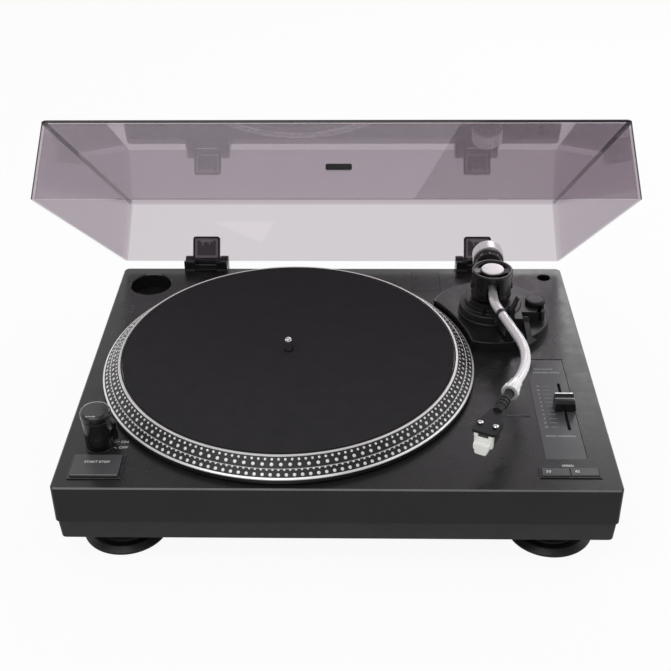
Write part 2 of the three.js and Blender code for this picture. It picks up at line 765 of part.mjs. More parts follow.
function add(parent, name, geometry, material, place = [0, 0, 0]) {
  const mesh = new THREE.Mesh(closed(geometry), material);
  mesh.name = name;
  mesh.position.set(...place);
  parent.add(mesh);
  return mesh;
}

// ---------------------------------------------------------------------------------------------
// Plinth
// ---------------------------------------------------------------------------------------------
const motorX = PLATTER_X + MOTOR_DISTANCE * Math.cos(MOTOR_ANGLE);
const motorY = PLATTER_Y + MOTOR_DISTANCE * Math.sin(MOTOR_ANGLE);
const bossPlaces = [-1, 1].flatMap((side) =>
  [BOSS_INSET, PLINTH_DEPTH - BOSS_INSET].map((y) => [side * (PLINTH_WIDTH / 2 - BOSS_INSET), y]));
const startWell = [START_X, START_Y, START_BEZEL_WIDTH - 2 * START_RIM, START_BEZEL_DEPTH - 2 * START_RIM];
const speedWell = [SPEED_X, SPEED_Y, SPEED_BEZEL_WIDTH - 2 * SPEED_RIM, SPEED_BEZEL_DEPTH - 2 * SPEED_RIM];
const speedKeyWidth = (speedWell[2] - 3 * FIT) / 2;
const speedKeyX = [-1, 1].map((side) => SPEED_X + side * (speedKeyWidth + FIT) / 2);
const keyStems = [[START_X, START_Y], ...speedKeyX.map((x) => [x, SPEED_Y])];
const wellFloorZ = -KEY_WELL_DEPTH - KEY_WELL_FLOOR;

function pitchSlotTool(width, length, z0, z1) {
  return loft([z0, z1].map((z) =>
    [z, roundedOutline(width, length, width * ALMOST_HALF, PITCH_SLOT_X, PITCH_SLOT_Y)]));
}

function coverShell() {
  const outer = pad(0, MIDDLE_Y, PLINTH_WIDTH, PLINTH_DEPTH, -COVER_HEIGHT, 0, COVER_CORNER, COVER_CHAMFER);
  const inside = roundedOutline(PLINTH_WIDTH - 2 * COVER_WALL, PLINTH_DEPTH - 2 * COVER_WALL,
    COVER_CORNER / 2, 0, MIDDLE_Y);
  return cut(outer, loft([-COVER_HEIGHT - PAST, -COVER_SKIN].map((z) => [z, inside])));
}

// Walls round the wells, under the cover's top.
function wellCups() {
  const top = SINK - COVER_SKIN;
  const keyCup = ([x, y, width, depth]) =>
    block(x, y, width + 2 * CUP_WALL, depth + 2 * CUP_WALL, wellFloorZ, top);
  return [
    disc(ADAPTER_X, ADAPTER_Y, ADAPTER_RADIUS + CUP_WALL, -ADAPTER_DEPTH - CUP_WALL, top),
    disc(HOLDER_X, HOLDER_Y, HOLDER_RADIUS + CUP_WALL, -HOLDER_DEPTH - CUP_WALL, top, SIDES_FINE),
    keyCup(startWell),
    keyCup(speedWell),
  ];
}

function wells() {
  const keyWell = ([x, y, width, depth]) =>
    loft([-KEY_WELL_DEPTH, PAST].map((z) => [z, roundedOutline(width, depth, KEY_CORNER, x, y)]));
  return [
    turned([[0, -ADAPTER_DEPTH], [ADAPTER_RADIUS - ADAPTER_TAPER, -ADAPTER_DEPTH], [ADAPTER_RADIUS, -EDGE],
      [ADAPTER_RADIUS + ADAPTER_CHAMFER, WELL_ABOVE], [0, WELL_ABOVE]], ADAPTER_X, ADAPTER_Y, SIDES_WELL),
    turned([[0, -HOLDER_DEPTH], [HOLDER_RADIUS, -HOLDER_DEPTH], [HOLDER_RADIUS, WELL_ABOVE - HOLDER_CHAMFER],
      [HOLDER_RADIUS + HOLDER_CHAMFER, WELL_ABOVE], [0, WELL_ABOVE]], HOLDER_X, HOLDER_Y),
    keyWell(startWell),
    keyWell(speedWell),
    ...keyStems.map(([x, y]) => disc(x, y, KEY_STEM_RADIUS + FIT, wellFloorZ - PAST, 0, SIDES_TINY)),
  ];
}

// Openings through the cover for what passes or sits in it.
function coverHoles() {
  const through = (x, y, radius, sides) => disc(x, y, radius, -COVER_HEIGHT, PAST, sides);
  const rear = (x, width, height) => box(x - width / 2, x + width / 2, REAR_INNER_Y - PAST,
    PLINTH_DEPTH + PAST, PANEL_Z - height / 2, PANEL_Z + height / 2);
  return [
    through(PLATTER_X, PLATTER_Y, BEARING_RADIUS + FIT),
    through(motorX, motorY, PULLEY_RADIUS + PULLEY_LIP + MOTOR_HOLE_GAP),
    through(PIVOT_X, PIVOT_Y, PILLAR_RADIUS + PILLAR_ROOM),
    through(TOWER_X, TOWER_Y, TOWER_HOLE_RADIUS, SIDES_TINY),
    block(PITCH_PANEL_X, PITCH_PANEL_Y, PITCH_PANEL_WIDTH, PITCH_PANEL_LENGTH, -PITCH_RECESS, PAST),
    pitchSlotTool(PITCH_SLOT_WIDTH, PITCH_SLOT_LENGTH, -COVER_SKIN - PAST, PAST),
    block(PLATE_X, PLATE_Y, PLATE_WIDTH, PLATE_DEPTH, -PLATE_THICKNESS, PAST),
    rear(0, PANEL_WIDTH - 2 * PANEL_LIP, PANEL_HEIGHT - 2 * PANEL_LIP),
    rear(INLET_X, INLET_WIDTH + 2 * FIT, INLET_HEIGHT + 2 * FIT),
  ];
}

function plinthCover() {
  const bosses = bossPlaces.map(([x, y]) =>
    disc(x, y, BOSS_RADIUS, -COVER_HEIGHT, SINK - COVER_SKIN, SIDES_TINY));
  return cut(join(coverShell(), ...bosses, ...wellCups()), ...wells(), ...coverHoles());
}
add(deck, 'plinth_cover', plinthCover(), looks.cover());

add(deck, 'deck_plate', block(PLATE_X, PLATE_Y, PLATE_WIDTH - 2 * PLATE_GAP, PLATE_DEPTH - 2 * PLATE_GAP,
  -PLATE_THICKNESS, 0), looks.cover());

const standoffPlaces = [-1, 1].flatMap((sx) => [-1, 1].map((sy) => [
  BOARD_X + sx * (BOARD_WIDTH / 2 - STANDOFF_INSET), BOARD_Y + sy * (BOARD_DEPTH / 2 - STANDOFF_INSET)]));

function bottomTray() {
  const ring = (inset, corner) =>
    roundedOutline(PLINTH_WIDTH - 2 * inset, PLINTH_DEPTH - 2 * inset, corner, 0, MIDDLE_Y);
  const outer = loft([[TRAY_BOTTOM_Z, ring(TRAY_INSET_BOTTOM, COVER_CORNER)],
    [TRAY_TOP_Z, ring(TRAY_INSET_TOP, COVER_CORNER)]]);
  const hollow = loft([[TRAY_FLOOR_Z, ring(TRAY_INSET_BOTTOM + TRAY_WALL, COVER_CORNER / 2)],
    [TRAY_TOP_Z + PAST, ring(TRAY_INSET_TOP + TRAY_WALL, COVER_CORNER / 2)]]);
  const vents = Array.from({ length: VENT_COUNT }, (_, i) =>
    block(VENT_X + (i - (VENT_COUNT - 1) / 2) * VENT_PITCH, VENT_Y, VENT_WIDTH, VENT_LENGTH,
      TRAY_BOTTOM_Z - PAST, TRAY_FLOOR_Z + PAST));
  const bosses = bossPlaces.map(([x, y]) =>
    disc(x, y, BOSS_RADIUS, TRAY_FLOOR_Z - SINK, TRAY_TOP_Z, SIDES_TINY));
  const standoffs = standoffPlaces.map(([x, y]) =>
    disc(x, y, STANDOFF_RADIUS, TRAY_FLOOR_Z - SINK, BOARD_BOTTOM_Z, SIDES_TINY));
  return cut(join(cut(outer, hollow), ...bosses, ...standoffs), ...vents);
}
add(deck, 'bottom_tray', bottomTray(), looks.tray());

function foot() {
  const bottom = TRAY_BOTTOM_Z - FOOT_HEIGHT;
  const shoulder = bottom + FOOT_SHOULDER_HEIGHT;
  return turned([
    [0, bottom], [FOOT_RADIUS - FOOT_RIM_CHAMFER, bottom], [FOOT_RADIUS, bottom + FOOT_RIM],
    [FOOT_SHOULDER_RADIUS, shoulder], [FOOT_SHOULDER_RADIUS - FOOT_STEP, shoulder - EDGE],
    [FOOT_NECK_RADIUS, shoulder], [FOOT_NECK_RADIUS, TRAY_BOTTOM_Z], [0, TRAY_BOTTOM_Z],
  ]);
}
for (const [front, y] of [['front', FOOT_END_INSET], ['rear', PLINTH_DEPTH - FOOT_END_INSET]]) {
  for (const [side, x] of [['left', LEFT + FOOT_SIDE_INSET], ['right', RIGHT - FOOT_SIDE_INSET]]) {
    add(deck, `foot_${front}_${side}`, foot(), looks.rubber(), [x, y, 0]);
  }
}

// ---------------------------------------------------------------------------------------------
// Platter and drive
// ---------------------------------------------------------------------------------------------
const matSeatRadius = PLATTER_RADIUS - STROBE_WIDTH - INNER_RING_WIDTH;
const hubBottomZ = PLATTER_BOTTOM_Z + HUB_LIFT;
const shaftFlangeZ = hubBottomZ - SHAFT_FLANGE_THICKNESS;
const taperRadius = SPINDLE_RADIUS + SPINDLE_BOSS_WALL;
const spindleTopZ = MAT_TOP_Z + SPINDLE_HEIGHT;
const matHole = SPINDLE_RADIUS + MAT_GAP;

const platter = new THREE.Group();
platter.position.set(PLATTER_X, PLATTER_Y, 0);
deck.add(platter);

function platterCasting() {
  const trackInside = BELT_TRACK_RADIUS - BELT_TRACK_WALL;
  const rimInside = PLATTER_RADIUS - PLATTER_RIM_WALL;
  return turned([
    [taperRadius + FIT, hubBottomZ], [HUB_RADIUS, hubBottomZ], [HUB_RADIUS + EDGE, PLATTER_UNDER_Z],
    [trackInside, PLATTER_UNDER_Z], [trackInside, PULLEY_BOTTOM_Z],
    [BELT_TRACK_RADIUS, PULLEY_BOTTOM_Z], [BELT_TRACK_RADIUS, PLATTER_UNDER_Z],
    [rimInside, PLATTER_UNDER_Z], [rimInside, PLATTER_BOTTOM_Z],
    [PLATTER_RADIUS, PLATTER_BOTTOM_Z], [PLATTER_RADIUS, PLATTER_RIM_Z],
    [PLATTER_RADIUS - OUTER_RING_WIDTH, PLATTER_RIM_Z + OUTER_RING_RISE],
    [PLATTER_RADIUS - STROBE_WIDTH, STROBE_TOP_Z], [matSeatRadius, STROBE_TOP_Z],
    [matSeatRadius, PLATTER_DECK_Z], [taperRadius + FIT, PLATTER_DECK_Z],
  ], 0, 0, SIDES_LARGE);
}
add(platter, 'platter', platterCasting(), looks.platter());

add(platter, 'slip_mat', turned([
  [matHole, PLATTER_DECK_Z], [matSeatRadius - MAT_GAP, PLATTER_DECK_Z],
  [matSeatRadius - MAT_GAP, MAT_TOP_Z], [matHole, MAT_TOP_Z],
], 0, 0, SIDES_LARGE), looks.felt());

add(platter, 'platter_shaft', turned([
  [0, -SHAFT_DEPTH], [SPINDLE_RADIUS, -SHAFT_DEPTH], [SPINDLE_RADIUS, shaftFlangeZ],
  [SHAFT_FLANGE_RADIUS, shaftFlangeZ], [SHAFT_FLANGE_RADIUS, hubBottomZ], [taperRadius, hubBottomZ],
  [taperRadius - SPINDLE_BOSS_TAPER, PLATTER_DECK_Z - FIT], [SPINDLE_RADIUS, PLATTER_DECK_Z - FIT],
  [SPINDLE_RADIUS, spindleTopZ - SPINDLE_TIP],
  [SPINDLE_RADIUS - SPINDLE_TIP_IN, spindleTopZ - SPINDLE_TIP_END], [SPINDLE_TIP_RADIUS, spindleTopZ],
  [0, spindleTopZ],
]), looks.chrome());

const ballZ = -SHAFT_DEPTH - BALL_RADIUS - SHAFT_FIT;
const bearingFloorZ = ballZ - BALL_RADIUS - SHAFT_FIT;
const ball = new THREE.SphereGeometry(BALL_RADIUS, SIDES_TINY, SIDES_TINY);
add(platter, 'thrust_ball', ball, looks.steel(), [0, 0, ballZ]);

add(platter, 'bearing_housing', turned([
  [0, bearingFloorZ - BEARING_FLOOR], [BEARING_RADIUS, bearingFloorZ - BEARING_FLOOR],
  [BEARING_RADIUS, -COVER_SKIN - BEARING_FLANGE_THICKNESS],
  [BEARING_FLANGE_RADIUS, -COVER_SKIN - BEARING_FLANGE_THICKNESS], [BEARING_FLANGE_RADIUS, -COVER_SKIN],
  [BEARING_RADIUS, -COVER_SKIN], [BEARING_RADIUS, shaftFlangeZ - FIT],
  [SPINDLE_RADIUS + SHAFT_FIT, shaftFlangeZ - FIT], [SPINDLE_RADIUS + SHAFT_FIT, bearingFloorZ],
  [0, bearingFloorZ],
]), looks.brass());

const motor = new THREE.Group();
motor.position.set(motorX, motorY, 0);
deck.add(motor);
const motorBottomZ = -COVER_SKIN - MOTOR_HEIGHT;
const motorFlangeZ = -COVER_SKIN - MOTOR_FLANGE_THICKNESS;
const motorBoreZ = motorBottomZ + MOTOR_BORE_FLOOR;
add(motor, 'motor', turned([
  [0, motorBottomZ], [MOTOR_RADIUS - EDGE, motorBottomZ], [MOTOR_RADIUS, motorBottomZ + EDGE],
  [MOTOR_RADIUS, motorFlangeZ], [MOTOR_FLANGE_RADIUS, motorFlangeZ],
  [MOTOR_FLANGE_RADIUS, -COVER_SKIN], [MOTOR_SHAFT_RADIUS + FIT, -COVER_SKIN],
  [MOTOR_SHAFT_RADIUS + FIT, motorBoreZ - FIT], [0, motorBoreZ - FIT],
]), looks.steel());
const lipTopZ = PULLEY_BOTTOM_Z + PULLEY_LIP_HEIGHT;
const crownZ = PULLEY_TOP_Z - PULLEY_CROWN_EDGE;
add(motor, 'motor_pulley', turned([
  [0, motorBoreZ], [MOTOR_SHAFT_RADIUS, motorBoreZ], [MOTOR_SHAFT_RADIUS, PULLEY_BOTTOM_Z],
  [PULLEY_RADIUS + PULLEY_LIP, PULLEY_BOTTOM_Z], [PULLEY_RADIUS + PULLEY_LIP, lipTopZ],
  [PULLEY_RADIUS, lipTopZ + PULLEY_LIP_TAPER], [PULLEY_RADIUS, crownZ - PULLEY_CROWN_TAPER],
  [PULLEY_RADIUS + PULLEY_LIP, crownZ], [PULLEY_RADIUS + PULLEY_LIP, PULLEY_TOP_Z], [0, PULLEY_TOP_Z],
]), looks.brass());

// The outline of a loop round two wheels on the X axis: radius a at the origin, radius b at distance d.
function loopOutline(path, a, b, d) {
  const wrap = Math.acos((a - b) / d);
  path.absarc(0, 0, a, wrap, 2 * Math.PI - wrap, false);
  path.absarc(d, 0, b, -wrap, wrap, false);
  path.closePath();
  return path;
}
function driveBelt() {
  const loop = (path, away) =>
    loopOutline(path, BELT_TRACK_RADIUS + away, PULLEY_RADIUS + away, MOTOR_DISTANCE);
  const shape = loop(new THREE.Shape(), BELT_FIT + BELT_THICKNESS);
  shape.holes.push(loop(new THREE.Path(), BELT_FIT));
  return extrude(shape, BELT_Z, BELT_Z + BELT_WIDTH, SIDES_SMALL).rotateZ(MOTOR_ANGLE);
}
add(platter, 'drive_belt', driveBelt(), looks.rubber());

// ---------------------------------------------------------------------------------------------
// Start/stop key, strobe tower and speed keys
// ---------------------------------------------------------------------------------------------
add(deck, 'start_bezel', frame(START_X, START_Y, START_BEZEL_WIDTH, START_BEZEL_DEPTH, START_RIM, 0,
  START_BEZEL_HEIGHT, KEY_CORNER), looks.black());

// A key: its cap in the well, with a stem through the well's floor.
function key(x, y, width, depth, top) {
  const cap = pad(x, y, width, depth, -KEY_BODY_DEPTH, top, KEY_CORNER, FINE_EDGE);
  const stemEnd = -KEY_BODY_DEPTH - KEY_STEM_LENGTH;
  return join(cap, disc(x, y, KEY_STEM_RADIUS, stemEnd, SINK - KEY_BODY_DEPTH, SIDES_TINY));
}
const startKey = key(START_X, START_Y, startWell[2] - 2 * FIT, startWell[3] - 2 * FIT, START_KEY_TOP);
add(deck, 'start_button', startKey, looks.cover());
add(deck, 'speed_bezel', frame(SPEED_X, SPEED_Y, SPEED_BEZEL_WIDTH, SPEED_BEZEL_DEPTH, SPEED_RIM, 0,
  SPEED_BEZEL_HEIGHT, KEY_CORNER), looks.black());
for (const [i, speed] of ['33', '45'].entries()) {
  add(deck, `speed_button_${speed}`, key(speedKeyX[i], SPEED_Y, speedKeyWidth, speedWell[3] - 2 * FIT,
    SPEED_KEY_TOP), looks.cover());
}

const tower = new THREE.Group();
tower.position.set(TOWER_X, TOWER_Y, 0);
deck.add(tower);
const lampAngle = Math.atan2(PLATTER_Y - TOWER_Y, PLATTER_X - TOWER_X);
const towerBodyTop = TOWER_HEIGHT - KNOB_HEIGHT;

// The lens, or with a gap round it the window that it sits in.
function lens(gap, out) {
  const half = LAMP_HOOD_WIDTH / 2 - LENS_RIM + gap;
  return box(LAMP_HOOD_REACH - LENS_THICKNESS - gap, LAMP_HOOD_REACH + out, -half, half,
    LAMP_HOOD_BOTTOM + LENS_RIM - gap, LAMP_HOOD_TOP - LENS_RIM + gap).rotateZ(lampAngle);
}

function towerBody() {
  const body = turned([[0, 0], [TOWER_BASE_RADIUS, 0], [TOWER_TOP_RADIUS, towerBodyTop], [0, towerBodyTop]]);
  const hood = block(LAMP_HOOD_REACH / 2, 0, LAMP_HOOD_REACH, LAMP_HOOD_WIDTH, LAMP_HOOD_BOTTOM,
    LAMP_HOOD_TOP);
  const stemHole = disc(0, 0, KNOB_STEM_RADIUS + FIT, towerBodyTop - KNOB_STEM_LENGTH - FIT,
    towerBodyTop + PAST, SIDES_FINE);
  return cut(join(body, hood.rotateZ(lampAngle)), lens(FIT, PAST), stemHole);
}
add(tower, 'strobe_tower', towerBody(), looks.black());
add(tower, 'strobe_window', lens(0, 0), looks.red());
const knobBottom = towerBodyTop + FIT;
add(tower, 'power_knob', turned([
  [0, knobBottom - KNOB_STEM_LENGTH], [KNOB_STEM_RADIUS, knobBottom - KNOB_STEM_LENGTH],
  [KNOB_STEM_RADIUS, knobBottom], [KNOB_RADIUS - FINE_EDGE, knobBottom],
  [KNOB_RADIUS, knobBottom + FINE_EDGE], [KNOB_RADIUS, TOWER_HEIGHT - KNOB_CHAMFER],
  [KNOB_RADIUS - KNOB_CHAMFER, TOWER_HEIGHT], [0, TOWER_HEIGHT],
]), looks.black());

// ---------------------------------------------------------------------------------------------
// Pitch control
// ---------------------------------------------------------------------------------------------
const panelTopZ = -PITCH_RECESS + PITCH_PANEL_THICKNESS;
const faderBottomZ = -COVER_SKIN - PITCH_BODY_HEIGHT;
const faderFloorZ = faderBottomZ + PITCH_BODY_FLOOR;
add(deck, 'pitch_panel', cut(
  block(PITCH_PANEL_X, PITCH_PANEL_Y, PITCH_PANEL_WIDTH - 2 * FIT, PITCH_PANEL_LENGTH - 2 * FIT,
    -PITCH_RECESS, panelTopZ),
  pitchSlotTool(PITCH_SLOT_WIDTH, PITCH_SLOT_LENGTH, -PITCH_RECESS - PAST, PAST),
), looks.grey());
add(deck, 'pitch_fader', cut(
  block(PITCH_SLOT_X, PITCH_SLOT_Y, PITCH_BODY_WIDTH, PITCH_SLOT_LENGTH + 2 * PITCH_BODY_MARGIN, faderBottomZ,
    -COVER_SKIN),
  pitchSlotTool(PITCH_SLOT_WIDTH, PITCH_SLOT_LENGTH, faderFloorZ, PAST),
), looks.steel());

// A cap with a groove across it and a pointer rib in the groove, on a flat stem.
function pitchKnob() {
  const half = PITCH_KNOB_LENGTH / 2;
  const bottom = panelTopZ + PITCH_KNOB_GAP;
  const back = [[half, bottom], [half, PITCH_KNOB_TOP - PITCH_KNOB_SHOULDER],
    [half - PITCH_KNOB_CHAMFER, PITCH_KNOB_TOP], [half - PITCH_KNOB_CREST, PITCH_KNOB_TOP],
    [PITCH_GROOVE_HALF, PITCH_KNOB_TOP - PITCH_GROOVE_DEPTH],
    [PITCH_POINTER_HALF, PITCH_KNOB_TOP - PITCH_POINTER_DROP]];
  const front = back.map(([y, z]) => [-y, z]).reverse();
  const shape = new THREE.Shape([...back, ...front].map(([y, z]) => new THREE.Vector2(y, z)));
  const cap = extrude(shape, -PITCH_KNOB_WIDTH / 2, PITCH_KNOB_WIDTH / 2);
  cap.applyMatrix4(new THREE.Matrix4().makeBasis(
    new THREE.Vector3(0, 1, 0), new THREE.Vector3(0, 0, 1), new THREE.Vector3(1, 0, 0)));
  return join(cap, block(0, 0, PITCH_STEM_WIDTH, PITCH_STEM_LENGTH, faderFloorZ + FIT, bottom + SINK));
}
add(deck, 'pitch_knob', pitchKnob(), looks.black(), [PITCH_SLOT_X, PITCH_SLOT_Y + PITCH_REST, 0]);

// ---------------------------------------------------------------------------------------------
// Hinges and dust cover
// ---------------------------------------------------------------------------------------------
const earWidth = (HINGE_WIDTH - LEAF_WIDTH) / 2 - HINGE_EAR_GAP;
const barrelHalf = LEAF_WIDTH / 2;

// A bracket over the plinth's rear edge: a plate and two lugs on top, a back plate and two ears behind.
function hingeBase() {
  const rear = HINGE_AXIS_BEHIND + HINGE_EAR_RADIUS;
  const half = HINGE_WIDTH / 2;
  const onAxis = (geometry) => move(geometry, 0, HINGE_AXIS_BEHIND, HINGE_AXIS_Z);
  const lugs = [-half, half - HINGE_LUG_WIDTH].map((x) =>
    box(x, x + HINGE_LUG_WIDTH, -HINGE_LUG_FRONT, HINGE_LUG_DEPTH - HINGE_LUG_FRONT, 0, HINGE_LUG_HEIGHT));
  const ears = [-half, half - earWidth].flatMap((x) => [
    onAxis(rod(HINGE_EAR_RADIUS, x, x + earWidth, SIDES_FINE)),
    box(x, x + earWidth, FIT, rear, -HINGE_DROP, HINGE_AXIS_Z),
  ]);
  const plate = box(-half, half, -HINGE_LUG_FRONT, FIT + HINGE_BLOCK_THICKNESS, 0, HINGE_PLATE);
  const back = box(-half, half, FIT, FIT + HINGE_BLOCK_THICKNESS, -HINGE_DROP, HINGE_PLATE);
  const pin = onAxis(rod(HINGE_PIN_RADIUS, HINGE_PIN_INSET - half, half - HINGE_PIN_INSET));
  const room = barrelHalf + FIT;
  const knuckleRoom = onAxis(rod(LEAF_KNUCKLE_RADIUS + HINGE_KNUCKLE_GAP, -room, room, SIDES_FINE));
  return join(cut(join(plate, back, ...lugs, ...ears), knuckleRoom), pin);
}

// The leaf in the hinge's own frame: Y back and Z up from the axis, with the cover closed.
const rearFaceSlope = Math.atan(LID_DRAFT_REAR / LID_HEIGHT);
const lidRimRear = -HINGE_AXIS_BEHIND;
function hingeLeaf() {
  const plateBottom = LID_GAP - HINGE_AXIS_Z + LEAF_LIFT;
  const height = LEAF_TOP - plateBottom;
  const sheet = (z0, z1, inset, corner) => loft([z0, z1].map((z) =>
    [z, roundedOutline(LEAF_WIDTH - 2 * inset, height - 2 * inset, corner, 0, height / 2)]));
  const rim = sheet(LEAF_THICKNESS - LEAF_RIM_SINK, LEAF_THICKNESS + LEAF_RIM, 0, LEAF_CORNER);
  const rimHole = sheet(LEAF_THICKNESS - PAST, LEAF_THICKNESS + LEAF_RIM + PAST, LEAF_RIM_WIDTH,
    LEAF_HOLE_CORNER);
  const stand = new THREE.Matrix4().makeBasis(
    new THREE.Vector3(-1, 0, 0), new THREE.Vector3(0, 0, 1), new THREE.Vector3(0, 1, 0));
  const plate = join(sheet(0, LEAF_THICKNESS, 0, LEAF_CORNER), cut(rim, rimHole)).applyMatrix4(stand);
  plate.rotateX(rearFaceSlope).translate(0, lidRimRear + LEAF_GAP, plateBottom);
  const knuckle = rod(LEAF_KNUCKLE_RADIUS, -barrelHalf, barrelHalf, SIDES_FINE);
  const neck = box(-barrelHalf, barrelHalf, lidRimRear + LEAF_GAP + LEAF_RIM_SINK, 0, plateBottom - SINK,
    plateBottom - SINK + LEAF_NECK);
  return cut(join(knuckle, neck, plate), rod(HINGE_PIN_RADIUS + FIT, -barrelHalf - PAST, barrelHalf + PAST));
}

const lid = new THREE.Group();
lid.position.set(0, HINGE_AXIS_Y, HINGE_AXIS_Z);
lid.rotation.x = -LID_OPEN;
deck.add(lid);

for (const [side, x] of [['left', LEFT + HINGE_SIDE_INSET], ['right', RIGHT - HINGE_SIDE_INSET]]) {
  add(deck, `hinge_base_${side}`, hingeBase(), looks.black(), [x, PLINTH_DEPTH, 0]);
  add(lid, `hinge_leaf_${side}`, hingeLeaf(), looks.black(), [x, 0, 0]);
}

function dustCover() {
  const rimZ = LID_GAP - HINGE_AXIS_Z;
  const topZ = rimZ + LID_HEIGHT;
  const frontRim = LID_FRONT_INSET - HINGE_AXIS_Y;
  // Outline at a share t of the height, drawn in by inset on every side.
  const ring = (t, inset, corner) => {
    const front = frontRim + t * LID_DRAFT_FRONT + inset;
    const rear = lidRimRear - t * LID_DRAFT_REAR - inset;
    const width = LID_WIDTH - 2 * (t * LID_DRAFT_SIDE + inset);
    return roundedOutline(width, rear - front, corner, 0, (front + rear) / 2);
  };
  const outer = loft([
    [rimZ, ring(0, 0, LID_CORNER)],
    [topZ - LID_CHAMFER, ring(1 - LID_CHAMFER / LID_HEIGHT, 0, LID_CORNER)],
    [topZ, ring(1, LID_CHAMFER, LID_CORNER)],
  ]);
  const hollow = loft([
    [rimZ - PAST, ring(-PAST / LID_HEIGHT, LID_WALL, LID_INNER_CORNER)],
    [topZ - LID_WALL, ring(1 - LID_WALL / LID_HEIGHT, LID_WALL, LID_INNER_CORNER)],
  ]);
  return cut(outer, hollow);
}
add(lid, 'dust_cover', dustCover(), looks.smoke());

// A bare plaque glued to the cover's front wall.
function lidPlaque() {
  const lean = Math.atan(LID_DRAFT_FRONT / LID_HEIGHT);
  const outline = roundedOutline(PLAQUE_WIDTH, PLAQUE_HEIGHT, PLAQUE_CORNER);
  const plate = loft([0, PLAQUE_THICKNESS].map((z) => [z, outline]));
  const z = LID_HEIGHT - PLAQUE_BELOW_TOP;
  const front = LID_FRONT_INSET - HINGE_AXIS_Y + (z * LID_DRAFT_FRONT) / LID_HEIGHT;
  return move(plate, 0, 0, GLUE_GAP).rotateX(Math.PI / 2 - lean)
    .translate(PLAQUE_X, front, LID_GAP - HINGE_AXIS_Z + z);
}
add(lid, 'lid_plaque', lidPlaque(), looks.black());

// ---------------------------------------------------------------------------------------------
// Tonearm base
// ---------------------------------------------------------------------------------------------
const armDeck = new THREE.Group();
armDeck.position.set(PIVOT_X, PIVOT_Y, 0);
deck.add(armDeck);

// The tube's centre line in the tonearm's frame: pivot at the origin, rear stub along +Y, axis at z = 0.
// Heading of a leg, in the plane of the tube, measured from -Y towards +X.
const heading = (angle) => new THREE.Vector3(Math.sin(angle), -Math.cos(angle), 0);
const thirdHeading = BEND_OUT - BEND_IN;
const firstBend = new THREE.Vector3(0, -FIRST_LEG, 0);
const secondBend = firstBend.clone().addScaledVector(heading(BEND_OUT), SECOND_LEG);
const stylusPlace = secondBend.clone().addScaledVector(heading(thirdHeading), THIRD_LEG);
const alongShell = (fromStylus) => stylusPlace.clone().addScaledVector(heading(thirdHeading), -fromStylus);

function armBoard() {
  const plate = turned([[0, 0], [BOARD_RADIUS, 0], [BOARD_RADIUS, BOARD_HEIGHT - BOARD_CHAMFER],
    [BOARD_RADIUS - BOARD_CHAMFER, BOARD_HEIGHT], [0, BOARD_HEIGHT]], 0, 0, SIDES_MEDIUM);
  const platterRoom = disc(PLATTER_X - PIVOT_X, PLATTER_Y - PIVOT_Y, PLATTER_RADIUS + BOARD_PLATTER_GAP,
    -PAST, BOARD_HEIGHT + PAST, SIDES_HUGE);
  const pillarHole = disc(0, 0, PILLAR_RADIUS + PILLAR_ROOM, -PAST, BOARD_HEIGHT + PAST);
  return cut(plate, platterRoom, pillarHole);
}
add(armDeck, 'arm_board', armBoard(), looks.cover());

const cuePinX = CUE_BAR_RADIUS * Math.sin(CUE_PIN_ANGLE);
const cuePinY = -CUE_BAR_RADIUS * Math.cos(CUE_PIN_ANGLE);
const cueBarTopZ = ARM_HEIGHT - TUBE_RADIUS - CUE_DOWN_GAP;
const cuePinTopZ = cueBarTopZ - CUE_BAR_THICKNESS + SINK;
const cuePinBottomZ = cuePinTopZ - CUE_PIN_DEPTH;
const leverCheekX = CUE_LEVER_X - CUE_LEVER_WIDTH / 2 - CUE_LEVER_GAP;

// The round turret under the pivot, with its collar.
function armTurret() {
  return turned([
    [0, BOARD_HEIGHT], [BASE_RADIUS, BOARD_HEIGHT], [BASE_RADIUS, BASE_TOP_Z - EDGE],
    [BASE_RADIUS - EDGE, BASE_TOP_Z], [COLLAR_RADIUS + EDGE, BASE_TOP_Z], [COLLAR_RADIUS, BASE_TOP_Z + EDGE],
    [COLLAR_RADIUS, COLLAR_TOP_Z - EDGE], [COLLAR_RADIUS - EDGE, COLLAR_TOP_Z], [0, COLLAR_TOP_Z],
  ], 0, 0, SIDES_MEDIUM);
}

// The block that carries the anti-skate knob, with a rounded nose.
function skateBlock() {
  const root = box(SKATE_BLOCK_START, SKATE_OFFSET, -SKATE_BLOCK_FRONT, SKATE_BLOCK_BACK, BOARD_HEIGHT,
    SKATE_BLOCK_TOP_Z);
  const nose = pad(SKATE_BLOCK_REACH - SKATE_NOSE_LENGTH / 2, (SKATE_BLOCK_BACK - SKATE_BLOCK_FRONT) / 2,
    SKATE_NOSE_LENGTH, SKATE_BLOCK_FRONT + SKATE_BLOCK_BACK, BOARD_HEIGHT, SKATE_BLOCK_TOP_Z,
    SKATE_NOSE_CORNER, SKATE_NOSE_CHAMFER);
  return join(root, nose);
}

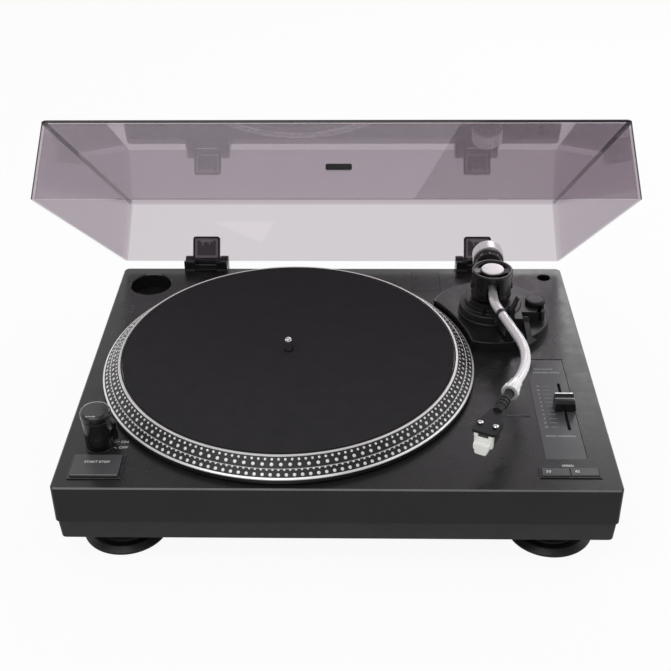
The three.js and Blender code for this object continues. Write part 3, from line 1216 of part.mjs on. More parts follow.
function armBase() {
  const cheek = box(CUE_CHEEK_START, leverCheekX, CUE_LEVER_Y - CUE_CHEEK_FRONT, CUE_LEVER_Y + CUE_CHEEK_BACK,
    BOARD_HEIGHT, SKATE_BLOCK_TOP_Z);
  const axleEnd = CUE_LEVER_X + CUE_LEVER_WIDTH / 2 + CUE_LEVER_AXLE_PAST;
  const axle = move(rod(CUE_LEVER_AXLE_RADIUS, leverCheekX - SINK, axleEnd), 0, CUE_LEVER_Y,
    CUE_LEVER_AXLE_Z);
  const pillarHole = disc(0, 0, PILLAR_RADIUS + FIT, 0, COLLAR_TOP_Z + PAST);
  const cueHole = disc(cuePinX, cuePinY, CUE_PIN_RADIUS + FIT, cuePinBottomZ - CUE_DOWN_GAP,
    COLLAR_TOP_Z + PAST, SIDES_TINY);
  const skateHole = disc(SKATE_OFFSET, 0, SKATE_STEM_RADIUS + FIT, SKATE_BLOCK_TOP_Z - SKATE_STEM_HOLE,
    SKATE_BLOCK_TOP_Z + PAST, SIDES_TINY);
  return cut(join(armTurret(), skateBlock(), cheek, axle), pillarHole, cueHole, skateHole);
}
add(armDeck, 'arm_base', armBase(), looks.black());

const skateBottom = SKATE_BLOCK_TOP_Z + FIT;
const skateTop = skateBottom + SKATE_KNOB_HEIGHT;
add(armDeck, 'anti_skate_knob', turned([
  [0, skateBottom - SKATE_STEM_LENGTH], [SKATE_STEM_RADIUS, skateBottom - SKATE_STEM_LENGTH],
  [SKATE_STEM_RADIUS, skateBottom], [SKATE_KNOB_RADIUS, skateBottom],
  [SKATE_KNOB_RADIUS, skateTop - SKATE_KNOB_CHAMFER], [SKATE_KNOB_RADIUS - SKATE_KNOB_CHAMFER, skateTop],
  [0, skateTop],
]), looks.black(), [SKATE_OFFSET, 0, 0]);

// The cueing lever hangs on its axle and points forwards over the board.
function cueLever() {
  const half = CUE_LEVER_WIDTH / 2;
  const arm = box(-half, half, -CUE_LEVER_LENGTH, 0, -CUE_LEVER_THICKNESS / 2, CUE_LEVER_THICKNESS / 2);
  const tab = pad(0, 0, CUE_TAB_LENGTH, CUE_TAB_WIDTH, -CUE_TAB_THICKNESS / 2, CUE_TAB_THICKNESS / 2,
    CUE_TAB_CORNER, FINE_EDGE).rotateZ(CUE_TAB_TURN).translate(0, -CUE_LEVER_LENGTH, 0);
  const eye = rod(CUE_LEVER_AXLE_RADIUS + CUE_LEVER_EYE_WALL, -half, half, SIDES_FINE);
  const bore = rod(CUE_LEVER_AXLE_RADIUS + FIT, -CUE_LEVER_WIDTH, CUE_LEVER_WIDTH);
  return cut(join(arm, tab, eye), bore);
}
const leverPlace = [CUE_LEVER_X, CUE_LEVER_Y, CUE_LEVER_AXLE_Z];
add(armDeck, 'cue_lever', cueLever(), looks.black(), leverPlace).rotation.x = CUE_LEVER_LEAN;

// An arc-shaped bar under the tube, on a pin that slides in the base.
function cuePlatform() {
  const inner = CUE_BAR_RADIUS - CUE_BAR_WIDTH / 2;
  const outer = CUE_BAR_RADIUS + CUE_BAR_WIDTH / 2;
  const from = CUE_BAR_FROM - Math.PI / 2;
  const to = CUE_BAR_TO - Math.PI / 2;
  const shape = new THREE.Shape();
  shape.absarc(0, 0, outer, from, to, false);
  shape.absarc(0, 0, inner, to, from, true);
  shape.closePath();
  const bar = extrude(shape, cueBarTopZ - CUE_BAR_THICKNESS, cueBarTopZ);
  const pin = disc(cuePinX, cuePinY, CUE_PIN_RADIUS - CUE_PIN_GAP, cuePinBottomZ, cuePinTopZ, SIDES_TINY);
  return join(bar, pin);
}
add(armDeck, 'cue_platform', cuePlatform(), looks.black());

// The rest's frame has its origin on the tube's axis and the tube along Y: a foot on the board, a post on
// the tube's outer side and a cradle under the tube.
const rest = new THREE.Group();
rest.position.copy(firstBend).addScaledVector(heading(BEND_OUT), REST_PAST_BEND);
rest.position.applyAxisAngle(new THREE.Vector3(0, 0, 1), ARM_TURN).setZ(ARM_HEIGHT);
rest.rotation.z = BEND_OUT + ARM_TURN;
armDeck.add(rest);

const postX = TUBE_RADIUS + REST_POST_GAP + REST_POST_WIDTH / 2;
const clipPinZ = REST_POST_TOP - CLIP_PIN_DROP;
function armRest() {
  const side = REST_POST_WIDTH / 2;
  const half = REST_DEPTH / 2;
  const boardZ = BOARD_HEIGHT - ARM_HEIGHT;
  const cradleZ = -TUBE_RADIUS - REST_GAP;
  const foot = box(postX - side - REST_FOOT_LIP, postX + side + REST_FOOT_LIP, -half, REST_FOOT_LENGTH - half,
    boardZ, boardZ + REST_FOOT_THICKNESS);
  const post = box(postX - side, postX + side, -half, half, boardZ, REST_POST_TOP);
  const cradle = box(-REST_CRADLE_REACH, postX, -half, half, cradleZ - REST_CRADLE_THICKNESS, cradleZ);
  const slot = block(postX, 0, REST_POST_WIDTH + 2 * PAST, CLIP_WIDTH + 2 * FIT,
    clipPinZ - CLIP_HUB_RADIUS - FIT, REST_POST_TOP + PAST);
  const pin = layBack(disc(0, 0, CLIP_PIN_RADIUS, CLIP_PIN_INSET - half, half - CLIP_PIN_INSET, SIDES_TINY));
  return join(cut(join(foot, post, cradle), slot), move(pin, postX, 0, clipPinZ));
}
add(rest, 'arm_rest', armRest(), looks.black());

// The clip turns on the post's pin; at rest it leans outwards, clear of the tube.
function armClip() {
  const hub = layBack(disc(0, 0, CLIP_HUB_RADIUS, -CLIP_WIDTH / 2, CLIP_WIDTH / 2, SIDES_FINE));
  const tongue = block(0, 0, CLIP_THICKNESS, CLIP_WIDTH, CLIP_TONGUE_START, CLIP_LENGTH);
  const bore = layBack(disc(0, 0, CLIP_PIN_RADIUS + CLIP_PIN_FIT, -CLIP_WIDTH, CLIP_WIDTH, SIDES_TINY));
  return cut(join(hub, tongue), bore);
}
add(rest, 'arm_clip', armClip(), looks.black(), [postX, 0, clipPinZ]).rotation.y = CLIP_LEAN;

// ---------------------------------------------------------------------------------------------
// Tonearm: its frame has the pivot at the origin, the rear stub along +Y and the tube's axis at z = 0
// ---------------------------------------------------------------------------------------------
const arm = new THREE.Group();
arm.position.set(PIVOT_X, PIVOT_Y, ARM_HEIGHT);
arm.rotation.z = ARM_TURN;
deck.add(arm);

const housingBottom = HOUSING_BOTTOM_Z - ARM_HEIGHT;
const housingTop = HOUSING_TOP_Z - ARM_HEIGHT;
const housingInner = HOUSING_RADIUS - HOUSING_WALL;

function armHousing() {
  const pillarBottom = PILLAR_BOTTOM_Z - ARM_HEIGHT;
  const body = turned([
    [0, pillarBottom], [PILLAR_RADIUS, pillarBottom], [PILLAR_RADIUS, housingBottom],
    [HOUSING_RADIUS - HOUSING_FOOT_CHAMFER, housingBottom],
    [HOUSING_RADIUS, housingBottom + HOUSING_FOOT_CHAMFER], [HOUSING_RADIUS, housingTop - EDGE],
    [HOUSING_RADIUS - EDGE, housingTop], [0, housingTop],
  ]);
  const hollow = disc(0, 0, housingInner, housingBottom + HOUSING_FLOOR, housingTop - HOUSING_ROOF);
  const half = HOUSING_SLOT_WIDTH / 2;
  const past = HOUSING_RADIUS + PAST;
  const slot = box(-half, half, -past, past, -HOUSING_SLOT_BOTTOM, HOUSING_SLOT_TOP);
  // Behind the pillar the slot runs down through the floor, so the stub can dip.
  const notch = box(-half, half, HOUSING_NOTCH_START, past, housingBottom - PAST, 0);
  const capSeat = disc(0, 0, CAP_RADIUS + FIT, housingTop - CAP_RECESS, housingTop + PAST);
  const pinInner = housingInner - TRUNNION_PIN_REACH;
  const pinOuter = HOUSING_RADIUS + TRUNNION_PIN_PROUD;
  const pins = [rod(TRUNNION_PIN_RADIUS, pinInner, pinOuter), rod(TRUNNION_PIN_RADIUS, -pinOuter, -pinInner)];
  return join(cut(body, hollow, slot, notch, capSeat), ...pins);
}
add(arm, 'arm_housing', armHousing(), looks.black());

const capBottom = housingTop - CAP_RECESS + FIT;
const capTop = capBottom + CAP_THICKNESS;
add(arm, 'housing_cap', turned([
  [0, capBottom], [CAP_RADIUS, capBottom], [CAP_RADIUS, capTop - CAP_CHAMFER],
  [CAP_RADIUS - CAP_CHAMFER, capTop], [0, capTop],
]), looks.steel());

// The block that carries the tube in front and the counterweight's stub behind, on two pivot screws.
function armTrunnion() {
  const half = TRUNNION_LENGTH / 2;
  const stub = layBack(disc(0, 0, STUB_RADIUS, 0, STUB_LENGTH, SIDES_FINE));
  const socket = rod(TRUNNION_PIN_RADIUS + FIT, -TRUNNION_PIN_REACH, TRUNNION_PIN_REACH);
  const sockets = [-half, half].map((x) => move(socket, x, 0, 0));
  return cut(join(rod(TRUNNION_RADIUS, -half, half, SIDES_SMALL), stub), ...sockets);
}
add(arm, 'arm_trunnion', armTrunnion(), looks.steel());

// Points along an arc of the given radius that rounds a corner between two headings.
function bendPoints(corner, fromAngle, toAngle, radius, steps) {
  const turn = toAngle - fromAngle;
  const tangent = radius * Math.tan(Math.abs(turn) / 2);
  const start = corner.clone().addScaledVector(heading(fromAngle), -tangent);
  const side = Math.sign(turn);
  const normal = new THREE.Vector3(Math.cos(fromAngle), Math.sin(fromAngle), 0).multiplyScalar(side);
  const centre = start.clone().addScaledVector(normal, radius);
  return Array.from({ length: steps + 1 }, (_, i) => {
    const angle = fromAngle + (turn * i) / steps;
    const out = new THREE.Vector3(Math.cos(angle), Math.sin(angle), 0).multiplyScalar(-side * radius);
    return centre.clone().add(out);
  });
}

function tubePath() {
  const path = new THREE.CurvePath();
  const points = [
    new THREE.Vector3(0, -TUBE_START, 0),
    ...bendPoints(firstBend, 0, BEND_OUT, BEND_OUT_RADIUS, BEND_OUT_STEPS),
    ...bendPoints(secondBend, BEND_OUT, thirdHeading, BEND_IN_RADIUS, BEND_IN_STEPS),
    alongShell(LOCK_FROM_STYLUS + LOCK_JOINT + FIT),
  ];
  for (let i = 1; i < points.length; i += 1) path.add(new THREE.LineCurve3(points[i - 1], points[i]));
  return path;
}

function armTube() {
  const section = new THREE.Shape();
  section.absarc(0, 0, TUBE_RADIUS, 0, 2 * Math.PI, false);
  return new THREE.ExtrudeGeometry(section, {
    steps: TUBE_STEPS, bevelEnabled: false, extrudePath: tubePath(), curveSegments: SIDES_TINY / 2,
  });
}
add(arm, 'arm_tube', armTube(), looks.chrome());

// Counterweight and its dial on the stub
function counterweight() {
  return layBack(turned([
    [STUB_RADIUS + FIT, 0], [WEIGHT_RADIUS, 0], [WEIGHT_RADIUS, WEIGHT_LENGTH - WEIGHT_CHAMFER],
    [WEIGHT_RADIUS - WEIGHT_CHAMFER, WEIGHT_LENGTH], [STUB_RADIUS + FIT, WEIGHT_LENGTH],
  ]));
}
add(arm, 'counterweight', counterweight(), looks.steel(), [0, WEIGHT_START, 0]);
add(arm, 'force_dial', layBack(turned([
  [STUB_RADIUS + FIT, 0], [DIAL_RADIUS_FRONT - DIAL_FACE_CHAMFER, 0], [DIAL_RADIUS_FRONT, DIAL_FACE_CHAMFER],
  [DIAL_RADIUS_REAR, DIAL_LENGTH - DIAL_GRIP], [DIAL_RADIUS_REAR, DIAL_LENGTH],
  [STUB_RADIUS + FIT, DIAL_LENGTH],
])), looks.black(), [0, WEIGHT_START - DIAL_LENGTH - FIT, 0]);

// Headshell end: its own frame has the stylus line along -Y and the stylus below the origin.
const shell = new THREE.Group();
shell.position.copy(stylusPlace);
shell.rotation.z = thirdHeading;
arm.add(shell);

add(shell, 'lock_collar', layBack(turned([
  [SHELL_NECK_RADIUS + FIT, 0], [LOCK_RADIUS - LOCK_CHAMFER, 0], [LOCK_RADIUS, LOCK_CHAMFER],
  [LOCK_RADIUS, LOCK_FLAT], [LOCK_NECK_RADIUS, LOCK_LENGTH], [TUBE_RADIUS + FIT, LOCK_LENGTH],
  [TUBE_RADIUS + FIT, LOCK_JOINT], [SHELL_NECK_RADIUS + FIT, LOCK_JOINT],
])), looks.chrome(), [0, LOCK_FROM_STYLUS, 0]);

const shellBack = SHELL_LENGTH - SHELL_PAST_STYLUS;
function headshell() {
  const half = SHELL_WIDTH / 2;
  const rear = SHELL_REAR_WIDTH / 2;
  const nose = SHELL_NOSE_CHAMFER - SHELL_PAST_STYLUS;
  const outline = (inset) => [
    [inset - half, nose], [inset - half + SHELL_NOSE_CHAMFER, -SHELL_PAST_STYLUS],
    [half - inset - SHELL_NOSE_CHAMFER, -SHELL_PAST_STYLUS], [half - inset, nose],
    [half - inset, SHELL_TAPER_START], [rear - inset, shellBack], [inset - rear, shellBack],
    [inset - half, SHELL_TAPER_START],
  ].map(([x, y]) => new THREE.Vector2(x, y));
  const top = SHELL_TOP;
  const under = top - SHELL_THICKNESS;
  const plate = loft([[under, outline(0)], [top - FINE_EDGE, outline(0)], [top, outline(FINE_EDGE)]]);
  const skirt = loft([[under - SHELL_SKIRT, outline(SHELL_SKIRT_DRAFT)],
    [top - SHELL_SKIRT_SINK, outline(0)]]);
  const skirtRoom = loft([under - SHELL_SKIRT - PAST, under].map((z) => [z, outline(SHELL_SKIRT_WALL)]));
  const openFront = box(-half, half, -SHELL_PAST_STYLUS - PAST, shellBack * SHELL_SKIRT_SHARE,
    under - SHELL_SKIRT - PAST, under);
  const neckEnd = LOCK_FROM_STYLUS + LOCK_JOINT - FIT;
  const neck = layBack(disc(0, 0, SHELL_NECK_RADIUS, shellBack - SHELL_NECK_SINK, neckEnd, SIDES_FINE));
  const slots = [-1, 1].map((side) => {
    const slot = roundedOutline(SHELL_SLOT_WIDTH, SHELL_SLOT_LENGTH, SHELL_SLOT_WIDTH * ALMOST_HALF,
      (side * SHELL_SLOT_SPACING) / 2, SHELL_SLOT_BACK);
    return loft([[under - SHELL_SKIRT - PAST, slot], [top + PAST, slot]]);
  });
  return cut(join(plate, cut(skirt, skirtRoom, openFront), neck), ...slots);
}
add(shell, 'headshell', headshell(), looks.black());

const cartridgeTop = SHELL_TOP - SHELL_THICKNESS - FIT;
const cartridgeBottom = cartridgeTop - CARTRIDGE_HEIGHT;
function cartridgeBody() {
  const middle = CARTRIDGE_LENGTH / 2 - CARTRIDGE_PAST_STYLUS;
  const body = pad(0, middle, CARTRIDGE_WIDTH, CARTRIDGE_LENGTH, cartridgeBottom, cartridgeTop,
    CARTRIDGE_CORNER, CARTRIDGE_CHAMFER);
  const step = box(-CARTRIDGE_WIDTH, CARTRIDGE_WIDTH, middle + CARTRIDGE_STEP_START,
    middle + CARTRIDGE_LENGTH, cartridgeBottom - PAST, cartridgeBottom + CARTRIDGE_STEP_HEIGHT);
  const grooveHalf = STYLUS_BLOCK_WIDTH / 2 + FIT;
  const groove = box(-grooveHalf, grooveHalf, -CARTRIDGE_PAST_STYLUS - PAST, middle + CARTRIDGE_GROOVE_END,
    cartridgeBottom - PAST, cartridgeBottom + CARTRIDGE_GROOVE_DEPTH);
  return cut(body, step, groove);
}
add(shell, 'cartridge', cartridgeBody(), looks.cream());

const stylusTopZ = cartridgeBottom + CARTRIDGE_GROOVE_DEPTH - FIT;
// The holder in the cartridge's groove, with a fine cantilever down to the tip.
function stylusUnit() {
  const bottom = stylusTopZ - STYLUS_BLOCK_HEIGHT;
  const holder = box(-STYLUS_BLOCK_WIDTH / 2, STYLUS_BLOCK_WIDTH / 2, STYLUS_BLOCK_FRONT,
    STYLUS_BLOCK_FRONT + STYLUS_BLOCK_LENGTH, bottom, stylusTopZ);
  const tipZ = -STYLUS_DROP;
  const root = new THREE.Vector3(0, CANTILEVER_ROOT, bottom + CANTILEVER_LIFT);
  const end = new THREE.Vector3(0, CANTILEVER_ROOT - CANTILEVER_RUN, tipZ + CANTILEVER_END);
  const along = end.clone().sub(root);
  const cantilever = new THREE.CylinderGeometry(CANTILEVER_RADIUS, CANTILEVER_RADIUS, along.length(),
    CANTILEVER_SIDES);
  const upright = new THREE.Vector3(0, 1, 0);
  cantilever.applyQuaternion(new THREE.Quaternion().setFromUnitVectors(upright, along.clone().normalize()));
  const middle = root.add(end).multiplyScalar(1 / 2);
  cantilever.translate(middle.x, middle.y, middle.z);
  const tip = turned([[0, tipZ], [STYLUS_TIP_FLAT, tipZ + STYLUS_TIP_POINT],
    [STYLUS_TIP_RADIUS, tipZ + STYLUS_TIP_LENGTH], [0, tipZ + STYLUS_TIP_LENGTH]], 0, -STYLUS_TIP_PLACE,
  STYLUS_TIP_SIDES);
  return join(holder, cantilever, tip);
}
add(shell, 'stylus', stylusUnit(), looks.red());

function stylusGuard() {
  const front = -CARTRIDGE_PAST_STYLUS - GUARD_REACH;
  const back = -CARTRIDGE_PAST_STYLUS - FIT;
  const bottom = -STYLUS_DROP - GUARD_DROP;
  const top = bottom + GUARD_HEIGHT;
  const half = GUARD_WIDTH / 2;
  const outer = box(-half, half, front, back, bottom, top);
  const bevel = box(-GUARD_WIDTH, GUARD_WIDTH, -GUARD_BEVEL, GUARD_BEVEL, -GUARD_BEVEL, GUARD_BEVEL)
    .rotateX(Math.PI / 4).translate(0, front - GUARD_BEVEL_OUT, bottom - GUARD_BEVEL_OUT);
  const room = box(GUARD_WALL - half, half - GUARD_WALL, front + GUARD_WALL, back + PAST, bottom + GUARD_WALL,
    top - GUARD_WALL);
  return cut(outer, bevel, room);
}
add(shell, 'stylus_guard', stylusGuard(), looks.cream());

// The finger lift leaves the headshell's tapering side and sweeps outwards, back and a little up.
function fingerLift() {
  const taper = (LIFT_BAR_BACK - SHELL_TAPER_START) / (shellBack - SHELL_TAPER_START);
  const side = SHELL_WIDTH / 2 + (taper * (SHELL_REAR_WIDTH - SHELL_WIDTH)) / 2;
  const x = side + LIFT_BAR_RADIUS + FIT;
  const z = SHELL_TOP - SHELL_THICKNESS;
  const path = new THREE.QuadraticBezierCurve3(
    new THREE.Vector3(x, LIFT_BAR_BACK, z),
    new THREE.Vector3(x + LIFT_BAR_REACH / 2, LIFT_BAR_BACK + LIFT_BAR_SWEEP * LIFT_BAR_BULGE,
      z - LIFT_BAR_RISE),
    new THREE.Vector3(x + LIFT_BAR_REACH, LIFT_BAR_BACK + LIFT_BAR_SWEEP, z + LIFT_BAR_RISE),
  );
  const section = new THREE.Shape();
  section.absarc(0, 0, LIFT_BAR_RADIUS, 0, 2 * Math.PI, false);
  return new THREE.ExtrudeGeometry(section, {
    steps: SIDES_TINY, bevelEnabled: false, extrudePath: path, curveSegments: SIDES_TINY / 2,
  });
}
add(shell, 'finger_lift', fingerLift(), looks.black());

// ---------------------------------------------------------------------------------------------
// Electronics and rear sockets
// ---------------------------------------------------------------------------------------------
function mainBoard() {
  const top = BOARD_BOTTOM_Z + BOARD_THICKNESS;
  const can = (x, radius, height) =>
    disc(BOARD_X + x, BOARD_Y + CAN_ROW_Y, radius, top - SINK, top + height, SIDES_TINY);
  const piece = (x, y, width, depth, height) =>
    block(BOARD_X + x, BOARD_Y + y, width, depth, top - SINK, top + height);
  return join(
    block(BOARD_X, BOARD_Y, BOARD_WIDTH, BOARD_DEPTH, BOARD_BOTTOM_Z, top),
    can(BIG_CAN_X, BIG_CAN_RADIUS, BIG_CAN_HEIGHT),
    can(SMALL_CAN_X, SMALL_CAN_RADIUS, SMALL_CAN_HEIGHT),
    piece(HEAT_SINK_X, HEAT_SINK_Y, HEAT_SINK_WIDTH, HEAT_SINK_DEPTH, HEAT_SINK_HEIGHT),
    piece(CHIP_X, CHIP_Y, CHIP_WIDTH, CHIP_WIDTH, CHIP_HEIGHT),
    piece(CONNECTOR_X, CONNECTOR_Y, CONNECTOR_WIDTH, CONNECTOR_DEPTH, CONNECTOR_HEIGHT),
  );
}
add(deck, 'main_board', mainBoard(), looks.green());

function transformer() {
  const core = block(TRANSFORMER_X, TRANSFORMER_Y, TRANSFORMER_WIDTH, CORE_DEPTH, TRAY_FLOOR_Z,
    TRAY_FLOOR_Z + TRANSFORMER_HEIGHT);
  const winding = pad(TRANSFORMER_X, TRANSFORMER_Y, WINDING_WIDTH, TRANSFORMER_DEPTH, TRAY_FLOOR_Z,
    TRAY_FLOOR_Z + TRANSFORMER_HEIGHT - WINDING_DROP, WINDING_CORNER, EDGE);
  return join(core, winding);
}
add(deck, 'power_transformer', transformer(), looks.copper());

// A box in the rear wall's sockets row: centred on x and on the panel's height, from y0 to y1.
const rearBox = (x, width, height, y0, y1, dz = 0) =>
  box(x - width / 2, x + width / 2, y0, y1, PANEL_Z + dz - height / 2, PANEL_Z + dz + height / 2);
const panelInnerY = REAR_INNER_Y - PANEL_THICKNESS;

function rearPanel() {
  const plate = rearBox(0, PANEL_WIDTH, PANEL_HEIGHT, panelInnerY, REAR_INNER_Y);
  const hole = (x, width, height) =>
    rearBox(x, width + 2 * FIT, height + 2 * FIT, panelInnerY - PAST, REAR_INNER_Y + PAST);
  return cut(plate, hole(USB_X, USB_WIDTH, USB_HEIGHT),
    hole(SELECTOR_X, SELECTOR_WIDTH + SELECTOR_TRAVEL, SELECTOR_HEIGHT));
}
add(deck, 'rear_panel', rearPanel(), looks.black());

// A phono socket with its washer, standing on the panel's outer face.
function phonoJack() {
  const washer = JACK_RADIUS + JACK_WASHER_RIM;
  return layBack(turned([
    [0, 0], [washer, 0], [washer, JACK_WASHER_THICKNESS], [JACK_RADIUS, JACK_WASHER_THICKNESS],
    [JACK_RADIUS, JACK_LENGTH], [JACK_BORE, JACK_LENGTH], [JACK_BORE, JACK_BORE_FLOOR], [0, JACK_BORE_FLOOR],
  ], 0, 0, SIDES_FINE));
}
for (const [i, side] of ['left', 'right'].entries()) {
  add(deck, `phono_jack_${side}`, phonoJack(), looks.brass(), [JACK_X[i], REAR_INNER_Y, PANEL_Z]);
}

// A binding post: a washer, a thin stem and a thumb nut.
function groundTerminal() {
  return layBack(turned([
    [0, 0], [GROUND_RADIUS + EDGE, 0], [GROUND_RADIUS + EDGE, GROUND_WASHER_THICKNESS],
    [GROUND_STEM_RADIUS, GROUND_WASHER_THICKNESS], [GROUND_STEM_RADIUS, GROUND_NUT_START],
    [GROUND_RADIUS, GROUND_NUT_START], [GROUND_RADIUS, GROUND_LENGTH - EDGE],
    [GROUND_RADIUS - EDGE, GROUND_LENGTH], [0, GROUND_LENGTH],
  ], 0, 0, SIDES_TINY));
}
add(deck, 'ground_terminal', groundTerminal(), looks.chrome(), [GROUND_X, REAR_INNER_Y, PANEL_Z]);

function usbSocket() {
  const floorY = PLINTH_DEPTH - USB_PLUG_DEPTH;
  const body = rearBox(USB_X, USB_WIDTH, USB_HEIGHT, PLINTH_DEPTH - USB_DEPTH, PLINTH_DEPTH);
  const flange = rearBox(USB_X, USB_WIDTH + 2 * USB_LIP, USB_HEIGHT + 2 * USB_LIP, panelInnerY - USB_LIP,
    panelInnerY);
  const mouth = rearBox(USB_X, USB_WIDTH - 2 * USB_WALL, USB_HEIGHT - 2 * USB_WALL, floorY,
    PLINTH_DEPTH + PAST);
  const tongueZ = USB_HEIGHT / 2 - USB_WALL - EDGE - USB_TONGUE_THICKNESS / 2;
  const tongue = rearBox(USB_X, USB_TONGUE_WIDTH, USB_TONGUE_THICKNESS, floorY - SINK,
    PLINTH_DEPTH - USB_TONGUE_INSET, tongueZ);
  return join(cut(join(body, flange), mouth), tongue);
}
add(deck, 'usb_socket', usbSocket(), looks.steel());

function selector() {
  const x = SELECTOR_X - SELECTOR_TRAVEL / 2;
  const back = panelInnerY - FIT;
  const knob = rearBox(x, SELECTOR_WIDTH, SELECTOR_HEIGHT, REAR_INNER_Y - SELECTOR_DEPTH,
    REAR_INNER_Y + SELECTOR_PROUD);
  const slide = rearBox(x, 2 * SELECTOR_WIDTH, SELECTOR_HEIGHT + 2 * SELECTOR_SLIDE_LIP,
    back - SELECTOR_SLIDE, back);
  return join(knob, slide);
}
add(deck, 'line_selector', selector(), looks.cream());

function mainsInlet() {
  const floorY = PLINTH_DEPTH - INLET_CAVITY_DEPTH;
  const body = rearBox(INLET_X, INLET_WIDTH, INLET_HEIGHT, PLINTH_DEPTH - INLET_DEPTH, PLINTH_DEPTH);
  const flange = rearBox(INLET_X, INLET_WIDTH + 2 * INLET_LIP, INLET_HEIGHT + 2 * INLET_LIP,
    REAR_INNER_Y - INLET_LIP_THICKNESS, REAR_INNER_Y);
  const outline = roundedOutline(INLET_CAVITY_WIDTH, INLET_CAVITY_HEIGHT, INLET_CAVITY_HEIGHT * ALMOST_HALF);
  const mouth = layBack(loft([0, INLET_CAVITY_DEPTH + PAST].map((z) => [z, outline])));
  const pin = layBack(disc(0, 0, INLET_PIN_RADIUS, -SINK, INLET_CAVITY_DEPTH - INLET_PIN_SHORT, SIDES_TINY));
  const pins = [-1, 1].map((side) => move(pin, INLET_X + (side * INLET_PIN_SPACING) / 2, floorY, PANEL_Z));
  return join(cut(join(body, flange), move(mouth, INLET_X, floorY, PANEL_Z)), ...pins);
}
add(deck, 'mains_inlet', mainsInlet(), looks.black());

// ---------------------------------------------------------------------------------------------
// The origin is the middle of the whole player's box, at floor level
// ---------------------------------------------------------------------------------------------
const bounds = new THREE.Box3().setFromObject(player, true);
deck.position.set(-(bounds.min.x + bounds.max.x) / 2, -(bounds.min.y + bounds.max.y) / 2, -bounds.min.z);
player.updateMatrixWorld(true);

export default player;
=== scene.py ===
import json
import math

import bmesh
import bpy
from mathutils import Matrix, Vector

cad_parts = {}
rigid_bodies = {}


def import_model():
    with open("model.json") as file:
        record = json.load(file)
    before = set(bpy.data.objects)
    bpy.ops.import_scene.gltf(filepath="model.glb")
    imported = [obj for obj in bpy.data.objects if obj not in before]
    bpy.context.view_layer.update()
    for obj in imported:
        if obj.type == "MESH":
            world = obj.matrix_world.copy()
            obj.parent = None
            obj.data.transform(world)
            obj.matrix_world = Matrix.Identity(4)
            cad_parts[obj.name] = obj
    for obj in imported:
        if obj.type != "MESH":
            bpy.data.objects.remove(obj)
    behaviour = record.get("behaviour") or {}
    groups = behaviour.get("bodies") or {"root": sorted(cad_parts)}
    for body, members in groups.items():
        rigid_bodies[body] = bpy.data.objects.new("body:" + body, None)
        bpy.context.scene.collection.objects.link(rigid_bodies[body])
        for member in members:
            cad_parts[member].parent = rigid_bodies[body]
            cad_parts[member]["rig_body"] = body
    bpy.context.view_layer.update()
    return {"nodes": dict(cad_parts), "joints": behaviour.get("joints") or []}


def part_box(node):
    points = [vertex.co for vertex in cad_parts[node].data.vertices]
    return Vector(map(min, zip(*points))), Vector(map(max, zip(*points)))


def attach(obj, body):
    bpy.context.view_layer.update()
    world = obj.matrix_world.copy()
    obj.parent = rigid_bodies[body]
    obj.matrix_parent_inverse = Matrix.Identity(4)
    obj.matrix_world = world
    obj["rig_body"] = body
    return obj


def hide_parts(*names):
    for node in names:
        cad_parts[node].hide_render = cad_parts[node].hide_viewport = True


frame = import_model()
nodes = frame["nodes"]
joints = {j["name"]: j for j in frame["joints"]}
scene = bpy.context.scene

MM = 0.001
TAU = 2 * math.pi
UP = Vector((0, 0, 1))
WHITE = (1, 1, 1, 1)
PRINT_LIFT = 0.03  # millimetres from a surface up to the plane of its print
SHARP = 32  # degrees past which an edge is shaded sharp
HANDS = ((-1, "left"), (1, "right"))

# ---- Places, all worked out from the frame ----


def middle(node):
    low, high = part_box(node)
    return (low + high) / 2


cover_low, cover_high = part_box("plinth_cover")
DECK = Vector(((cover_low.x + cover_high.x) / 2, cover_low.y, cover_high.z))


def upright(node, z=None):
    """A frame on a node's axis, level with the deck's top unless z is given."""
    centre = middle(node)
    return Matrix.Translation((centre.x, centre.y, DECK.z if z is None else z))


def on_top(node):
    """A frame in the middle of a node's upper side."""
    return upright(node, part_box(node)[1].z)


def shift(x, y, z=0.0):
    """A move given in millimetres."""
    return Matrix.Translation(Vector((x, y, z)) * MM)


def basis(origin, x, y, z):
    """A frame at that origin, with those axes."""
    m = Matrix.Identity(4)
    for k, axis in enumerate((x, y, z)):
        for row in range(3):
            m[row][k] = axis[row]
    m.translation = origin
    return m


arm_axis = -Vector(joints["tonearm_lift"]["axis"]).normalized()
arm_pivot = Vector(joints["tonearm_lift"]["pos_m"])
AT_ARM = basis(arm_pivot, arm_axis, UP.cross(arm_axis), UP)
LOCK_FROM_STYLUS = 57.5
shell_back = -Vector(joints["lock_collar_turn"]["axis"]).normalized()
shell_side = shell_back.cross(UP)
stylus_place = Vector(joints["lock_collar_turn"]["pos_m"]) - shell_back * LOCK_FROM_STYLUS * MM
AT_SHELL = basis(stylus_place, shell_side, shell_back, UP)
LID_OPEN = math.radians(-joints["lid_hinge"]["range_deg"][0])
AT_LID = Matrix.Translation(joints["lid_hinge"]["pos_m"]) @ Matrix.Rotation(-LID_OPEN, 4, "X")
LAY_BACK = Matrix.Rotation(-math.pi / 2, 4, "X")

# ---- Materials ----


def new_material(name):
    material = bpy.data.materials.new(name)
    material.use_nodes = True
    tree = material.node_tree
    return material, tree, tree.nodes["Principled BSDF"]


def node(tree, kind, **values):
    made = tree.nodes.new(kind)
    for key, value in values.items():
        if key in made.inputs:
            made.inputs[key].default_value = value
        else:
            setattr(made, key, value)
    return made


def maths(tree, operation, first, second):
    """Two outputs, or an output and a number, taken together."""
    made = node(tree, "ShaderNodeMath", operation=operation)
    for socket, value in zip(made.inputs, (first, second)):
        if isinstance(value, float):
            socket.default_value = value
        else:
            tree.links.new(value, socket)
    return made.outputs[0]


